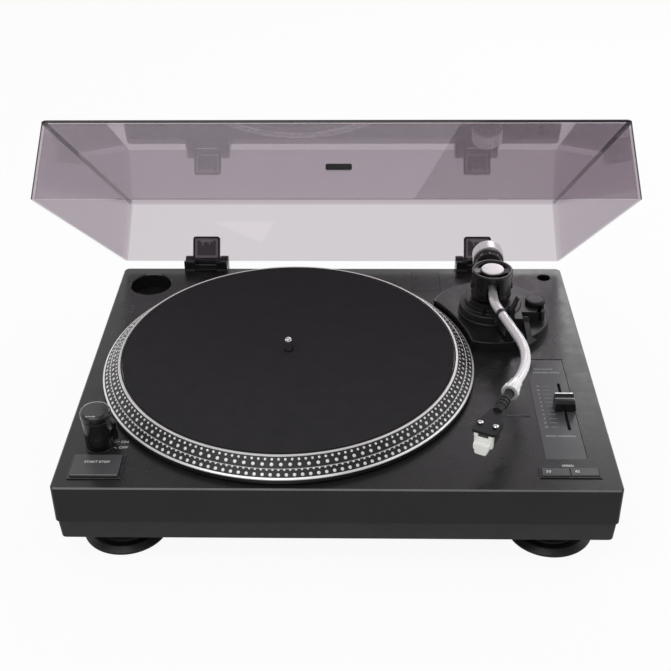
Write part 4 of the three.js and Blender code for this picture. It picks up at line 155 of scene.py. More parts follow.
def mixed(tree, factor, first, second):
    """The first shader where the factor is 0 and the second where it is 1."""
    mix = node(tree, "ShaderNodeMixShader")
    for socket, source in zip(mix.inputs, (factor, first, second)):
        tree.links.new(source, socket)
    return mix.outputs[0]


def raise_grain(tree, shader, height, strength, distance):
    bump = node(tree, "ShaderNodeBump", Strength=strength, Distance=distance)
    tree.links.new(height, bump.inputs["Height"])
    tree.links.new(bump.outputs["Normal"], shader.inputs["Normal"])


def spread(tree, source, low, high, from_low=0.3, from_high=0.7):
    """Maps an output's range, by default the middle of a noise, to the range low to high."""
    ranged = node(tree, "ShaderNodeMapRange")
    for key, value in zip(("From Min", "From Max", "To Min", "To Max"), (from_low, from_high, low, high)):
        ranged.inputs[key].default_value = value
    tree.links.new(source, ranged.inputs["Value"])
    return ranged.outputs["Result"]


def noise(tree, coords, scale, detail=3.0, stretch=(1, 1, 1)):
    mapping = node(tree, "ShaderNodeMapping")
    mapping.inputs["Scale"].default_value = stretch
    tree.links.new(coords, mapping.inputs["Vector"])
    made = node(tree, "ShaderNodeTexNoise", Scale=scale, Detail=detail)
    tree.links.new(mapping.outputs["Vector"], made.inputs["Vector"])
    return made.outputs["Fac"]


def blend_colours(tree, factor, first, second):
    mix = node(tree, "ShaderNodeMix", data_type="RGBA")
    for socket, colour in zip([s for s in mix.inputs if s.type == "RGBA"], (first, second)):
        socket.default_value = (*colour, 1)
    tree.links.new(factor, mix.inputs["Factor"])
    return [s for s in mix.outputs if s.type == "RGBA"][0]


PATCH = 25.0  # scale of the slow patches of every solid finish


def finish_of(name, colour, roughness, metallic=0.0, vary=0.25, grain=900.0, bump=0.15, specular=0.5,
              coat=0.0):
    """A solid finish: slow patches in colour, finer ones in roughness and a moulded grain."""
    material, tree, shader = new_material(name)
    coords = node(tree, "ShaderNodeTexCoord").outputs["Object"]
    patches = spread(tree, noise(tree, coords, PATCH), 0, 1)
    dark = tuple(c * (1 - vary) for c in colour)
    light = tuple(min(1.0, c * (1 + vary)) for c in colour)
    tree.links.new(blend_colours(tree, patches, dark, light), shader.inputs["Base Color"])
    smudge = noise(tree, coords, PATCH * 3, 4.0)
    tree.links.new(spread(tree, smudge, roughness - 0.06, roughness + 0.06), shader.inputs["Roughness"])
    raise_grain(tree, shader, noise(tree, coords, grain, 4.0), bump, 0.0002)
    for socket, value in (("Metallic", metallic), ("Specular IOR Level", specular), ("Coat Weight", coat),
                          ("Coat Roughness", 0.1)):
        shader.inputs[socket].default_value = value
    return material


def turned_metal(name, colour, roughness, rings=2600.0, metallic=1.0):
    """Metal with fine rings round the piece's own axis, from turning."""
    material, tree, shader = new_material(name)
    coords = node(tree, "ShaderNodeTexCoord").outputs["UV"]
    lines = noise(tree, coords, rings, 2.0, (1, 0.002, 1))
    worn = noise(tree, coords, 30.0, 3.0)
    tone = blend_colours(tree, spread(tree, lines, 0, 1), tuple(c * 0.9 for c in colour), colour)
    tree.links.new(tone, shader.inputs["Base Color"])
    tree.links.new(spread(tree, worn, roughness - 0.05, roughness + 0.08), shader.inputs["Roughness"])
    raise_grain(tree, shader, lines, 0.06, 0.0001)
    shader.inputs["Metallic"].default_value = metallic
    return material


def smoked(name, clear, slant=3.2):
    """Smoke-tinted acrylic: each skin lets part of the light through, less of it and mirroring more at
    low angles. clear is what a wall of two skins lets straight through."""
    material, tree, shader = new_material(name)
    tree.nodes.remove(shader)
    facing = node(tree, "ShaderNodeLayerWeight", Blend=0.5).outputs["Facing"]
    mirror = spread(tree, maths(tree, "POWER", facing, 5.0), 0.025, 1.0, 0.0, 1.0)
    straight = tuple(math.sqrt(c) for c in clear)
    slanted = tuple(math.sqrt(c ** slant) for c in clear)
    through = node(tree, "ShaderNodeBsdfTransparent")
    tree.links.new(blend_colours(tree, facing, straight, slanted), through.inputs["Color"])
    shine = node(tree, "ShaderNodeBsdfGlossy", Roughness=0.01, Color=(0.95, 0.93, 0.96, 1))
    tree.links.new(mixed(tree, mirror, through.outputs[0], shine.outputs[0]),
                   tree.nodes["Material Output"].inputs["Surface"])
    return material


def felt():
    material, tree, shader = new_material("felt")
    coords = node(tree, "ShaderNodeTexCoord").outputs["Object"]
    fibres = noise(tree, coords, 1500.0, 6.0)
    clumps = noise(tree, coords, 60.0, 4.0)
    tone = blend_colours(tree, spread(tree, clumps, 0, 1), (0.027, 0.0255, 0.0275), (0.031, 0.029, 0.0315))
    tree.links.new(tone, shader.inputs["Base Color"])
    raise_grain(tree, shader, fibres, 0.6, 0.0004)
    for socket, value in (("Roughness", 1.0), ("Specular IOR Level", 0.1), ("Sheen Weight", 0.06),
                          ("Sheen Roughness", 0.5)):
        shader.inputs[socket].default_value = value
    return material


LOOKS = {
    "satin": finish_of("satin_black", (0.013, 0.013, 0.0135), 0.3, grain=2400.0, bump=0.06, vary=0.1),
    "tray": finish_of("tray_black", (0.028, 0.028, 0.028), 0.5, grain=1500.0, bump=0.3, vary=0.1),
    "foot": finish_of("foot_black", (0.018, 0.018, 0.018), 0.4, grain=1200.0, bump=0.1),
    "rubber": finish_of("rubber", (0.012, 0.012, 0.012), 0.75, grain=700.0, bump=0.3),
    "moulded": finish_of("moulded_black", (0.016, 0.016, 0.017), 0.33, grain=1500.0, bump=0.12),
    "gloss": finish_of("gloss_black", (0.01, 0.01, 0.011), 0.2, grain=800.0, bump=0.05, coat=0.4),
    "plate": finish_of("dark_plate", (0.012, 0.012, 0.013), 0.5, grain=1500.0, bump=0.08, specular=0.2),
    # black paint of the strobe band and groove, also painted shade on the platter's side wall
    "band": finish_of("strobe_band_and_side_shade", (0.012, 0.012, 0.012), 0.4, grain=1500.0, bump=0.1),
    "enamel": finish_of("black_enamel", (0.012, 0.012, 0.013), 0.28, grain=1400.0, bump=0.15, coat=0.2),
    "grey": finish_of("key_grey", (0.055, 0.056, 0.06), 0.4, grain=1800.0, bump=0.12, vary=0.08),
    # painted highlight: a lighter grey for the rounded front top edges, the line of light they catch
    "edge": finish_of("painted_edge_highlight", (0.15, 0.15, 0.14), 0.35, grain=1800.0, bump=0.08, vary=0.15),
    "dull": finish_of("dull_black", (0.011, 0.011, 0.012), 0.45, grain=1500.0, bump=0.12, specular=0.3),
    "key": finish_of("satin_key", (0.068, 0.068, 0.071), 0.34, grain=1800.0, bump=0.1, vary=0.08),
    "leaf_ring": finish_of("leaf_ring", (0.62, 0.62, 0.62), 0.4, grain=1500.0, bump=0.1, vary=0.1),
    "leaf_well": finish_of("leaf_well", (0.2, 0.2, 0.2), 0.4, grain=1500.0, bump=0.1, vary=0.1),
    # pale grey: the pitch pointer's print, and a painted highlight on the arm board's rear rim
    "pale_grey": finish_of("pale_grey", (0.33, 0.33, 0.335), 0.4, grain=1500.0, bump=0.1, vary=0.1),
    "panel": finish_of("scale_panel", (0.062, 0.064, 0.069), 0.34, grain=2400.0, bump=0.08, vary=0.08),
    "print": finish_of("white_print", (0.72, 0.72, 0.71), 0.6, grain=3000.0, bump=0.1, vary=0.05),
    "scale_tick": finish_of("scale_tick", (0.27, 0.31, 0.33), 0.6, grain=3000.0, bump=0.1, vary=0.1),
    "faint": finish_of("grey_print", (0.42, 0.45, 0.46), 0.6, grain=3000.0, bump=0.1, vary=0.2),
    "dots": finish_of("bright_dots", (0.85, 0.85, 0.84), 0.42, 0.35, grain=1500.0, bump=0.1, vary=0.05),
    "silver": turned_metal("turned_silver", (0.93, 0.93, 0.92), 0.28, metallic=0.6),
    "white_metal": turned_metal("pale_cap", (0.95, 0.95, 0.95), 0.34, metallic=0.4),
    "chrome": turned_metal("bright_chrome", (0.9, 0.9, 0.91), 0.1, 900.0),
    "satin_metal": finish_of("satin_metal", (0.92, 0.92, 0.92), 0.33, 0.6, grain=1800.0, bump=0.08, vary=0.04),
    "tube": finish_of("arm_tube", (0.93, 0.93, 0.93), 0.3, 0.55, grain=1800.0, bump=0.05, vary=0.03),
    "steel": finish_of("plated_steel", (0.5, 0.5, 0.51), 0.35, 1.0, grain=900.0, bump=0.1, vary=0.1),
    "brass": finish_of("brass", (0.7, 0.52, 0.24), 0.3, 1.0, grain=900.0, bump=0.1, vary=0.1),
    "gold": finish_of("plug_gold", (0.85, 0.65, 0.3), 0.25, 1.0, grain=900.0, bump=0.08, vary=0.08),
    "lamp": finish_of("lamp_red", (0.35, 0.01, 0.008), 0.15, grain=400.0, bump=0.05, coat=0.6),
    "cream": finish_of("cream", (0.98, 0.97, 0.92), 0.35, grain=1500.0, bump=0.1, vary=0.05),
    "olive": finish_of("olive_block", (0.045, 0.045, 0.032), 0.4, grain=1500.0, bump=0.1),
    "board": finish_of("circuit_board", (0.02, 0.11, 0.04), 0.4, grain=600.0, bump=0.2),
    "core": finish_of("transformer", (0.28, 0.2, 0.14), 0.5, 0.2, grain=600.0, bump=0.4),
    "socket_red": finish_of("socket_red", (0.5, 0.02, 0.02), 0.4, grain=1200.0, bump=0.08),
    "socket_white": finish_of("socket_white", (0.8, 0.8, 0.78), 0.4, grain=1200.0, bump=0.08),
    "felt": felt(),
    "smoke": smoked("smoked_acrylic", (0.69, 0.65, 0.68)),
    # painted shade: nearly black and darker tints for the lid's edge strips and rim, standing for the dark
    # lines along the sheet's edges
    "smoke_painted_dark_edge": smoked("lid_edge_painted_dark", (0.004, 0.0035, 0.004), 1.0),
    "smoke_painted_dark_rim": smoked("lid_rim_painted_dark", (0.3, 0.27, 0.29), 1.0),
}

# ---- Mesh tools ----


def piece(name, bm, looks, body, place=Matrix(), sharp=SHARP, scale=MM):
    """Turns a bmesh in millimetres into an object that rides on a body."""
    bm.transform(place @ Matrix.Scale(scale, 4))
    bmesh.ops.recalc_face_normals(bm, faces=bm.faces)
    mesh = bpy.data.meshes.new(name)
    bm.to_mesh(mesh)
    bm.free()
    mesh.shade_smooth()
    mesh.set_sharp_from_angle(angle=math.radians(sharp))
    for look in [looks] if isinstance(looks, str) else looks:
        mesh.materials.append(LOOKS[look])
    made = bpy.data.objects.new(name, mesh)
    scene.collection.objects.link(made)
    level_normals(made)
    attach(made, body)
    return made


def baked(made):
    """Leaves the object the mesh that its modifiers give, and no modifiers."""
    bpy.context.view_layer.update()
    graph = bpy.context.evaluated_depsgraph_get()
    mesh = bpy.data.meshes.new_from_object(made.evaluated_get(graph), preserve_all_data_layers=True,
                                           depsgraph=graph)
    made.modifiers.clear()
    made.data = mesh


def level_normals(made):
    """Keeps broad faces flat in shading, so that only the rounding between them looks round."""
    modifier = made.modifiers.new("level", "WEIGHTED_NORMAL")
    modifier.weight = 100
    modifier.keep_sharp = True
    baked(made)


def polar(radius, angle):
    return radius * math.cos(angle), radius * math.sin(angle)


def cut_along(bm, at, normal):
    """Splits every face that a plane crosses."""
    bmesh.ops.bisect_plane(bm, geom=bm.verts[:] + bm.edges[:] + bm.faces[:], dist=1e-7, plane_co=at,
                           plane_no=normal)


def skin(bm, rings):
    """Joins each ring of corners to the next, and closes both ends."""
    for first, second in zip(rings, rings[1:]):
        for i in range(len(first)):
            j = (i + 1) % len(first)
            bm.faces.new((first[i], first[j], second[j], second[i]))
    bm.faces.new(rings[0])
    bm.faces.new(rings[-1])


def softened(profile, radius, closed=False, steps=3):
    """The profile with each corner rounded, where its neighbours leave room."""
    points = [Vector(p[:2]) for p in profile]
    count = len(points)
    out = []
    for i, corner in enumerate(points):
        if not closed and i in (0, count - 1):
            out.append(corner)
            continue
        before = points[i - 1] - corner
        after = points[(i + 1) % count] - corner
        reach = min(radius, before.length * 0.45, after.length * 0.45)
        start = corner + before.normalized() * reach
        end = corner + after.normalized() * reach
        for k in range(steps + 1):
            t = k / steps
            out.append(start * (1 - t) ** 2 + corner * 2 * t * (1 - t) + end * t * t)
    return out


def lathe(name, profile, looks, body, place=Matrix(), segments=96, soft=0.0, closed=False,
          flutes=None, bands=None):
    """A solid of revolution about Z. flutes is (count, depth, low z, high z); bands gives each
    stretch of the profile its material, for an unsoftened profile."""
    points = softened(profile, soft, closed) if soft else [Vector(p[:2]) for p in profile]
    bm = bmesh.new()
    layer = bm.loops.layers.uv.new("UVMap")
    rings = []
    for point in points:
        radius, z = point
        if radius < 1e-6:
            rings.append([bm.verts.new((0, 0, z))])
            continue
        ring = []
        for i in range(segments):
            r = radius
            if flutes and flutes[2] <= z <= flutes[3]:
                r -= flutes[1] * (0.5 + 0.5 * math.cos(TAU * flutes[0] * i / segments))
            angle = TAU * i / segments
            ring.append(bm.verts.new((*polar(r, angle), z)))
        rings.append(ring)
    travelled = 0.0
    for k in range(len(rings) if closed else len(rings) - 1):
        first, second = rings[k], rings[(k + 1) % len(rings)]
        step = (points[(k + 1) % len(points)] - points[k]).length * MM
        for i in range(segments):
            j = (i + 1) % segments
            if len(first) == 1 and len(second) == 1:
                continue
            if len(first) == 1:
                corners = [(first[0], 0, i), (second[i], 1, i), (second[j], 1, i + 1)]
            elif len(second) == 1:
                corners = [(first[i], 0, i), (second[0], 1, i), (first[j], 0, i + 1)]
            else:
                corners = [(first[i], 0, i), (second[i], 1, i), (second[j], 1, i + 1), (first[j], 0, i + 1)]
            face = bm.faces.new([c[0] for c in corners])
            for loop, (_, along, turn) in zip(face.loops, corners):
                loop[layer].uv = (travelled + along * step, turn / segments)
            if bands:
                face.material_index = bands[k]
        travelled += step
    return piece(name, bm, looks, body, place)


def prism(name, outline, z0, z1, looks, body, place=Matrix(), top=0.4):
    """An upright solid on an anticlockwise outline, with a rounded top edge."""
    bm = bmesh.new()
    sections = [(z0, 0.0)]
    for k in range(4):
        angle = math.pi / 2 * k / 3
        sections.append((z1 - top + top * math.sin(angle), top * (1 - math.cos(angle))))
    rings = [[bm.verts.new((*p, z)) for p in inset(outline, amount)] for z, amount in sections]
    skin(bm, rings)
    return piece(name, bm, looks, body, place)


def inset(outline, amount):
    """The outline moved inwards by amount at each corner."""
    if amount == 0:
        return [tuple(p) for p in outline]
    out = []
    count = len(outline)
    for i in range(count):
        here = Vector(outline[i])
        before = (here - Vector(outline[i - 1])).normalized()
        after = (Vector(outline[(i + 1) % count]) - here).normalized()
        normal = (Vector((-before.y, before.x)) + Vector((-after.y, after.x)))
        normal.normalize()
        slope = max(0.3, normal.dot(Vector((-after.y, after.x))))
        out.append(tuple(here + normal * amount / slope))
    return out


def rounded(width, depth, radius, steps=6):
    """The outline of a rectangle with round corners."""
    points = []
    for sx, sy, start in ((1, 1, 0), (-1, 1, 90), (-1, -1, 180), (1, -1, 270)):
        for k in range(steps + 1):
            angle = math.radians(start + 90 * k / steps)
            points.append((sx * (width / 2 - radius) + radius * math.cos(angle),
                           sy * (depth / 2 - radius) + radius * math.sin(angle)))
    return points


def slab(name, low, high, looks, body, place=Matrix(), bevel=0.5):
    """A box between two corners with rounded edges."""
    bm = bmesh.new()
    bmesh.ops.create_cube(bm, size=1)
    low, high = Vector(low), Vector(high)
    for v in bm.verts:
        v.co = Vector([low[k] if v.co[k] < 0 else high[k] for k in range(3)])
    if bevel:
        bmesh.ops.bevel(bm, geom=bm.edges[:], offset=bevel, segments=3, profile=0.5, affect="EDGES")
    return piece(name, bm, looks, body, place)


def refined(cad, looks, bevel=0.3, segments=2, sharp=SHARP, zones=None):
    """The CAD node's own shape with its sharp edges rounded, standing for that node."""
    bm = bmesh.new()
    bm.from_mesh(nodes[cad].data)
    bmesh.ops.remove_doubles(bm, verts=bm.verts, dist=1e-6)
    bmesh.ops.dissolve_limit(bm, angle_limit=math.radians(0.6), verts=bm.verts, edges=bm.edges)
    edges = [e for e in bm.edges if e.is_manifold and e.calc_face_angle(0) > math.radians(28)]
    bmesh.ops.bevel(bm, geom=edges, offset=bevel * MM, segments=segments, profile=0.5, affect="EDGES",
                    clamp_overlap=True)
    if zones:
        zones(bm)
    made = piece(f"{cad}_skin", bm, looks, nodes[cad]["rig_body"], sharp=sharp, scale=1)
    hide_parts(cad)
    return made


def sweep(name, path, radius, looks, body, place=Matrix(), sides=24):
    """A round tube along a list of points, level along Z, with closed ends."""
    points = [Vector(p) for p in path]
    bm = bmesh.new()
    rings = []
    radii = radius if isinstance(radius, (list, tuple)) else [radius] * len(points)
    for i, point in enumerate(points):
        ahead = (points[min(i + 1, len(points) - 1)] - points[max(i - 1, 0)]).normalized()
        side = ahead.cross(UP).normalized()
        over = side.cross(ahead)
        rings.append([bm.verts.new(point + side * radii[i] * math.cos(TAU * k / sides)
                                   + over * radii[i] * math.sin(TAU * k / sides))
                      for k in range(sides)])
    skin(bm, rings)
    return piece(name, bm, looks, body, place)


def carved(base, cutters, operation="DIFFERENCE"):
    """Cuts the cutters out of the base, or joins them to it, and deletes them."""
    for cutter in cutters:
        modifier = base.modifiers.new("carve", "BOOLEAN")
        modifier.operation = operation
        modifier.solver = "EXACT"
        modifier.object = cutter
        baked(base)
        bpy.data.objects.remove(cutter)
    base.data.shade_smooth()
    base.data.set_sharp_from_angle(angle=math.radians(SHARP))
    level_normals(base)
    return base


LETTER_THICK = 0.05


def words(name, text, size, body, place, look="print"):
    """Thin printed lettering, centred on the place and lying in its XY plane."""
    curve = bpy.data.curves.new(name, "FONT")
    curve.body = text
    curve.size = size
    curve.align_x = "CENTER"
    curve.align_y = "CENTER"
    curve.extrude = LETTER_THICK / 2
    curve.offset = size * 0.012
    curve.resolution_u = 3
    text_object = bpy.data.objects.new(name, curve)
    scene.collection.objects.link(text_object)
    bpy.context.view_layer.update()
    graph = bpy.context.evaluated_depsgraph_get()
    mesh = bpy.data.meshes.new_from_object(text_object.evaluated_get(graph))
    bpy.data.objects.remove(text_object)
    mesh.materials.clear()
    bm = bmesh.new()
    bm.from_mesh(mesh)
    bpy.data.meshes.remove(mesh)
    return piece(name, bm, look, body, place)


PRINT_THICK = 0.06


def strokes(name, boxes, looks, body, place):
    """Flat printed strokes, each (x0, x1, y0, y1) in millimetres."""
    bm = bmesh.new()
    for x0, x1, y0, y1 in boxes:
        bottom = [bm.verts.new((x, y, 0)) for x, y in ((x0, y0), (x1, y0), (x1, y1), (x0, y1))]
        top = [bm.verts.new((v.co.x, v.co.y, PRINT_THICK)) for v in bottom]
        skin(bm, [bottom, top])
    return piece(name, bm, looks, body, place)


def stands_for(made, *cad):
    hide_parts(*cad)
    return made


def dress(cad, look):
    """A CAD node that stays gets its finish."""
    target = nodes[cad]
    if not target.material_slots:
        target.data.materials.append(LOOKS[look])
    for slot in target.material_slots:
        slot.material = LOOKS[look]


# ---- Plinth and feet ----


def front_edge(bm):
    """The rounding along the top of a piece's front has a zone of its own, painted brighter: a painted
    highlight where that edge catches the light.
    """
    for face in bm.faces:
        if face.normal.y < -0.2 and face.normal.z > 0.2 and abs(face.normal.x) < 0.3:
            face.material_index = 1


def plinth():
    # the front top rounding of the cover carries a painted highlight
    refined("plinth_cover", ["satin", "edge"], bevel=0.9, segments=4, zones=front_edge)
    refined("deck_plate", "satin", bevel=0.15)
    refined("bottom_tray", "tray", bevel=0.5)


def foot(cad):
    low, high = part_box(cad)
    height = (high.z - low.z) / MM
    radius = (high.x - low.x) / 2 / MM
    place = upright(cad, low.z)
    body = lathe(f"{cad}_shell", [
        (0, 1.6), (radius - 3, 1.6), (radius - 2.6, 0.9), (radius - 0.9, 0.9), (radius, 2.0),
        (radius - 0.6, 3.0), (radius - 5.4, 6.9), (radius - 6.9, 6.4), (radius - 8.4, 5.0),
        (radius - 12.6, 4.8), (radius - 13.5, 6.5), (radius - 13.5, height - 0.2), (0, height - 0.2),
    ], "foot", "base", place, segments=128, soft=0.7)
    lathe(f"{cad}_sole", [(0, 0), (radius - 3.4, 0), (radius - 3.2, 1.5), (0, 1.5)], "rubber", "base",
          place, segments=96, soft=0.4)
    stands_for(body, cad)


# ---- Platter ----
RIM_R, RIM_Z = 166.0, 6.0
BAND_R, BAND_TOP_Z = 151.1, 18.2
OUTER_RING = 1.7
INNER_RING = 3.2
LIP = 1.7
FELT_TOP = 18.4
STROBE_ROWS = ((160, 0.135, 1.45), (216, 0.375, 0.95), (133, 0.625, 1.5), (180, 0.87, 1.1))


def platter():
    place = upright("platter")
    seat = BAND_R - INNER_RING
    lathe_profile = [
        (0, 2.3), (15, 2.3), (16, 11.4), (83, 11.4), (83, 2.6), (88, 2.6), (88, 11.4), (159, 11.4),
        (159, 1.5), (RIM_R - 0.4, 1.5), (RIM_R, 1.9), (RIM_R, RIM_Z - 0.5), (RIM_R - 0.3, RIM_Z),
        (RIM_R - OUTER_RING, RIM_Z + 0.7), (RIM_R - OUTER_RING - 0.3, RIM_Z + 0.6),
        (BAND_R + 0.3, BAND_TOP_Z - 0.5), (BAND_R, BAND_TOP_Z), (BAND_R - LIP, BAND_TOP_Z),
        (BAND_R - LIP, BAND_TOP_Z - 0.5), (seat, BAND_TOP_Z - 0.5), (seat, 15.4), (0, 15.4),
    ]
    # the side wall, the sloping band and the groove inside the lip are dark: the band and the groove are black
    # paint, and the side wall's black is painted shade for the dark line under the rim's bright edge
    bands = [int(k in (9, 10, 13, 14, 17, 18, 19)) for k in range(len(lathe_profile) - 1)]
    body = lathe("platter_casting", lathe_profile, ["silver", "band"], "platter", place,
                 segments=240, bands=bands)
    stands_for(body, "platter")
    dots(place)
    mat = lathe("slip_mat_felt", [
        (4.1, 15.5), (seat - 0.5, 15.5), (seat - 0.4, 16.4), (seat - 0.7, FELT_TOP - 0.4),
        (seat - 1.6, FELT_TOP - 0.05), (5.2, FELT_TOP - 0.05), (4.3, FELT_TOP - 0.4),
    ], "felt", "platter", place, segments=240, closed=True)
    stands_for(mat, "slip_mat")
    shaft = lathe("spindle", [
        (0, -26), (3.4, -26), (3.6, -25.6), (3.6, 1.1), (10.6, 1.1), (11, 1.5), (11, 2.2), (5.2, 2.2),
        (5.0, 15.1), (3.62, 15.1), (3.62, 27.6), (3.3, 29.0), (2.5, 30.2), (1.5, 30.8), (0.9, 30.9),
        (0.6, 30.5), (0, 30.2),
    ], "chrome", "platter", place, segments=64)
    stands_for(shaft, "platter_shaft")


def dots(place):
    """Rows of raised dots on the sloping band, each row with its own count."""
    bm = bmesh.new()
    outer = Vector((RIM_R - OUTER_RING - 0.3, RIM_Z + 0.6))
    inner = Vector((BAND_R + 0.3, BAND_TOP_Z - 0.5))
    run = inner - outer
    rise = Vector((-run.y, run.x)).normalized()
    if rise.x < 0:
        rise = -rise
    sides = 10
    for count, share, size in STROBE_ROWS:
        centre = outer + run * share
        for i in range(count):
            angle = TAU * i / count
            radial = Vector((math.cos(angle), math.sin(angle), 0))
            across = Vector((-radial.y, radial.x, 0))
            along = (radial * run.x + UP * run.y).normalized()
            normal = radial * rise.x + UP * rise.y
            base = radial * centre.x + UP * centre.y - normal * 0.02
            rings = []
            for reach, lift in ((1.0, 0.0), (0.9, 0.16), (0.55, 0.28)):
                rings.append([bm.verts.new(base + normal * lift + (across * math.cos(TAU * k / sides)
                                           + along * math.sin(TAU * k / sides)) * size * reach)
                              for k in range(sides)])
            skin(bm, rings)
    piece("strobe_dots", bm, "dots", "platter", place)


# ---- Keys, strobe tower and pitch control ----


def keys():
    # the front top roundings of the start bezel and key carry a painted highlight
    refined("start_bezel", ["gloss", "edge"], bevel=0.45, segments=3, zones=front_edge)
    refined("start_button", ["key", "edge"], bevel=0.6, segments=3, zones=front_edge)
    words("start_stop_print", "START·STOP", 3.7, "start_key",
          on_top("start_button") @ shift(0, 3.2, PRINT_LIFT))
    refined("speed_bezel", "gloss", bevel=0.4, segments=3)
    for number in ("33", "45"):
        cad = f"speed_button_{number}"
        refined(cad, "key", bevel=0.4, segments=3)
        words(f"print_{number}", number, 4.2, f"key_{number}", on_top(cad) @ shift(-5.8, 0, PRINT_LIFT))
    words("speed_print", "SPEED", 3.5, "base", upright("speed_bezel") @ shift(-0.3, 9.2, PRINT_LIFT))


def tower():
    refined("strobe_window", "lamp", bevel=0.2)
    lens = middle("strobe_window") - middle("power_knob")
    facing = math.atan2(lens.y, lens.x)
    place = upright("power_knob")
    body = lathe("tower_body", [
        (0, 0), (12.0, 0), (11.9, 0.8), (11.3, 1.6), (12.0, 29.0), (11.6, 29.5), (4.4, 29.5), (4.4, 21.2),
        (0, 21.2),
    ], "gloss", "base", place, soft=0.4)
    lamp_side = place @ Matrix.Rotation(facing, 4, "Z")
    hood = slab("lamp_hood", (4, -6.5, 4), (14.6, 6.5, 22), "gloss", "base", lamp_side,
                bevel=1.2)
    window = slab("lamp_cut", (13.0, -4.8, 5.7), (16, 4.8, 20.3), "gloss", "base", lamp_side, bevel=0)
    carved(body, [hood], "UNION")
    carved(body, [window])
    stands_for(body, "strobe_tower")
    knob = lathe("power_knob_cap", [
        (0, 21.6), (4, 21.6), (4, 29.8), (12.0, 29.8), (12.5, 30.4), (12.6, 34.6), (12.0, 35.7), (11.0, 36.3),
        (10.4, 36.45), (0, 36.45),
    ], "gloss", "power_knob", place, soft=0.35)
    stands_for(knob, "power_knob")
    arc("knob_line", 11.35, 0.4, math.radians(30), math.radians(150), 36.34, "print", "power_knob", place)
    words("power_print", "POWER", 2.3, "power_knob", place @ shift(-2, -9.3, 36.49))


def arc(name, radius, width, start, end, z, look, body, place):
    """A printed line along part of a circle."""
    bm = bmesh.new()
    rows = []
    for k in range(33):
        d = Vector((*polar(1, start + (end - start) * k / 32), 0))
        rows.append([bm.verts.new(d * (radius + side * width / 2) + UP * (z + lift))
                     for side, lift in ((-1, 0), (1, 0), (1, PRINT_THICK), (-1, PRINT_THICK))])
    skin(bm, rows)
    return piece(name, bm, look, body, place)


def tower_legend():
    """The switch's marks on the deck beside the tower."""
    at = upright("power_knob") @ shift(0, 0, PRINT_LIFT)
    strokes("legend_lines", [
        (9.5, 13.5, 4.1, 4.6), (13.0, 13.5, 4.1, 5.6), (13.0, 15.0, 5.1, 5.6),
        (9.0, 13.0, -2.6, -2.1), (12.5, 13.0, -3.6, -2.1), (12.5, 14.5, -3.6, -3.1),
    ], "print", "base", at)
    words("legend_on", "ON", 4.2, "base", at @ shift(19.5, 4.8))
    words("legend_off", "OFF", 4.2, "base", at @ shift(19.5, -2.6))


def pitch_knob():
    """A drafted cap with a bright ridge at the back, a groove with the pointer's line and a rolled front."""
    low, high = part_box("pitch_knob")
    half_x, half_y = (high.x - low.x) / 2 / MM, (high.y - low.y) / 2 / MM
    top, bottom = high.z / MM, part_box("pitch_panel")[1].z / MM + 1.2
    centre = (low + high) / 2
    place = Matrix.Translation((centre.x, centre.y, 0))
    profile = softened([
        (half_y, bottom), (half_y, top - 1.6), (half_y - 1.0, top - 0.1), (3.6, top - 0.1), (2.9, top - 0.7),
        (1.2, top - 3.0), (0.9, top - 2.2), (-0.9, top - 2.2), (-1.6, top - 2.0), (-3.6, top - 1.3),
        (-5.2, top - 2.0), (-half_y, top - 4.2), (-half_y, bottom),
    ], 0.6, closed=True)
    bm = bmesh.new()
    rings = []
    for side, draft in ((-1, 0.3), (1, 1.9)):
        rings.append([bm.verts.new((side * (half_x - draft * (z - bottom) / (top - bottom)), y, z))
                      for y, z in profile])
    skin(bm, rings)
    stands_for(piece("pitch_knob_cap", bm, "gloss", "pitch_knob", place), "pitch_knob")
    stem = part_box("pitch_knob")[0].z / MM
    slab("pitch_knob_stem", (-1.0, -3, stem), (1.0, 3, bottom + 0.2), "steel", "pitch_knob",
         place, bevel=0.1)
    first, last = 0.4 - half_x, half_x - 2.0
    slab("pitch_ridge", (first + 0.1, 3.7, top - 0.3), (last - 0.1, half_y - 0.9, top), "satin_metal",
         "pitch_knob", place, bevel=0.12)
    strokes("pitch_pointer", [(first, last + 0.2, -0.8, 0.5)], "pale_grey", "pitch_knob",
            place @ shift(0, 0, top - 2.2))


FADER_END = 12.5  # from the end of the pitch_fader node to the last mark
TICK_LEFT, TICK_RIGHT, FIGURE_LEFT = 15.2, 8.4, 18.8  # leftwards from that node's middle
SCALE_STEPS = ("10", "8", "6", "4", "2", "0", "2", "4", "6", "8", "10")


def pitch():
    refined("pitch_panel", "panel", bevel=0.15)
    low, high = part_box("pitch_panel")
    fader = middle("pitch_fader")
    top = high.z + PRINT_LIFT * MM
    at = Matrix.Translation((0, 0, top))
    fader_low, fader_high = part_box("pitch_fader")
    reach = (fader_high.y - fader_low.y) / 2 - FADER_END * MM
    marks = []
    for k, text in enumerate(SCALE_STEPS):
        y = fader.y + reach * (1 - k / 5)
        marks.append((fader.x / MM - TICK_LEFT, fader.x / MM - TICK_RIGHT, y / MM - 0.28, y / MM + 0.28))
        figure_at = Matrix.Translation((fader.x - FIGURE_LEFT * MM, y, top))
        words(f"pitch_mark_{k}", text, 3.2, "base", figure_at, "faint")
    strokes("pitch_ticks", marks, "scale_tick", "base", at)
    centre = (low.x + high.x) / 2
    for name, text, size, x, y in (("pitch_head", "PITCH RANGE", 2.7, centre - 2 * MM, high.y - 15.2 * MM),
                                   ("pitch_line", "VARIABLE SPEED", 3.2, centre, high.y - 20.5 * MM),
                                   ("pitch_adjust", "PITCH CONTROL", 3.2, centre, low.y + 30 * MM)):
        words(name, text, size, "base", Matrix.Translation((x, y, top)), "faint")
    pitch_knob()
    dress("pitch_fader", "steel")


# ---- Dust cover and hinges ----


LID_STRIP = 0.0004


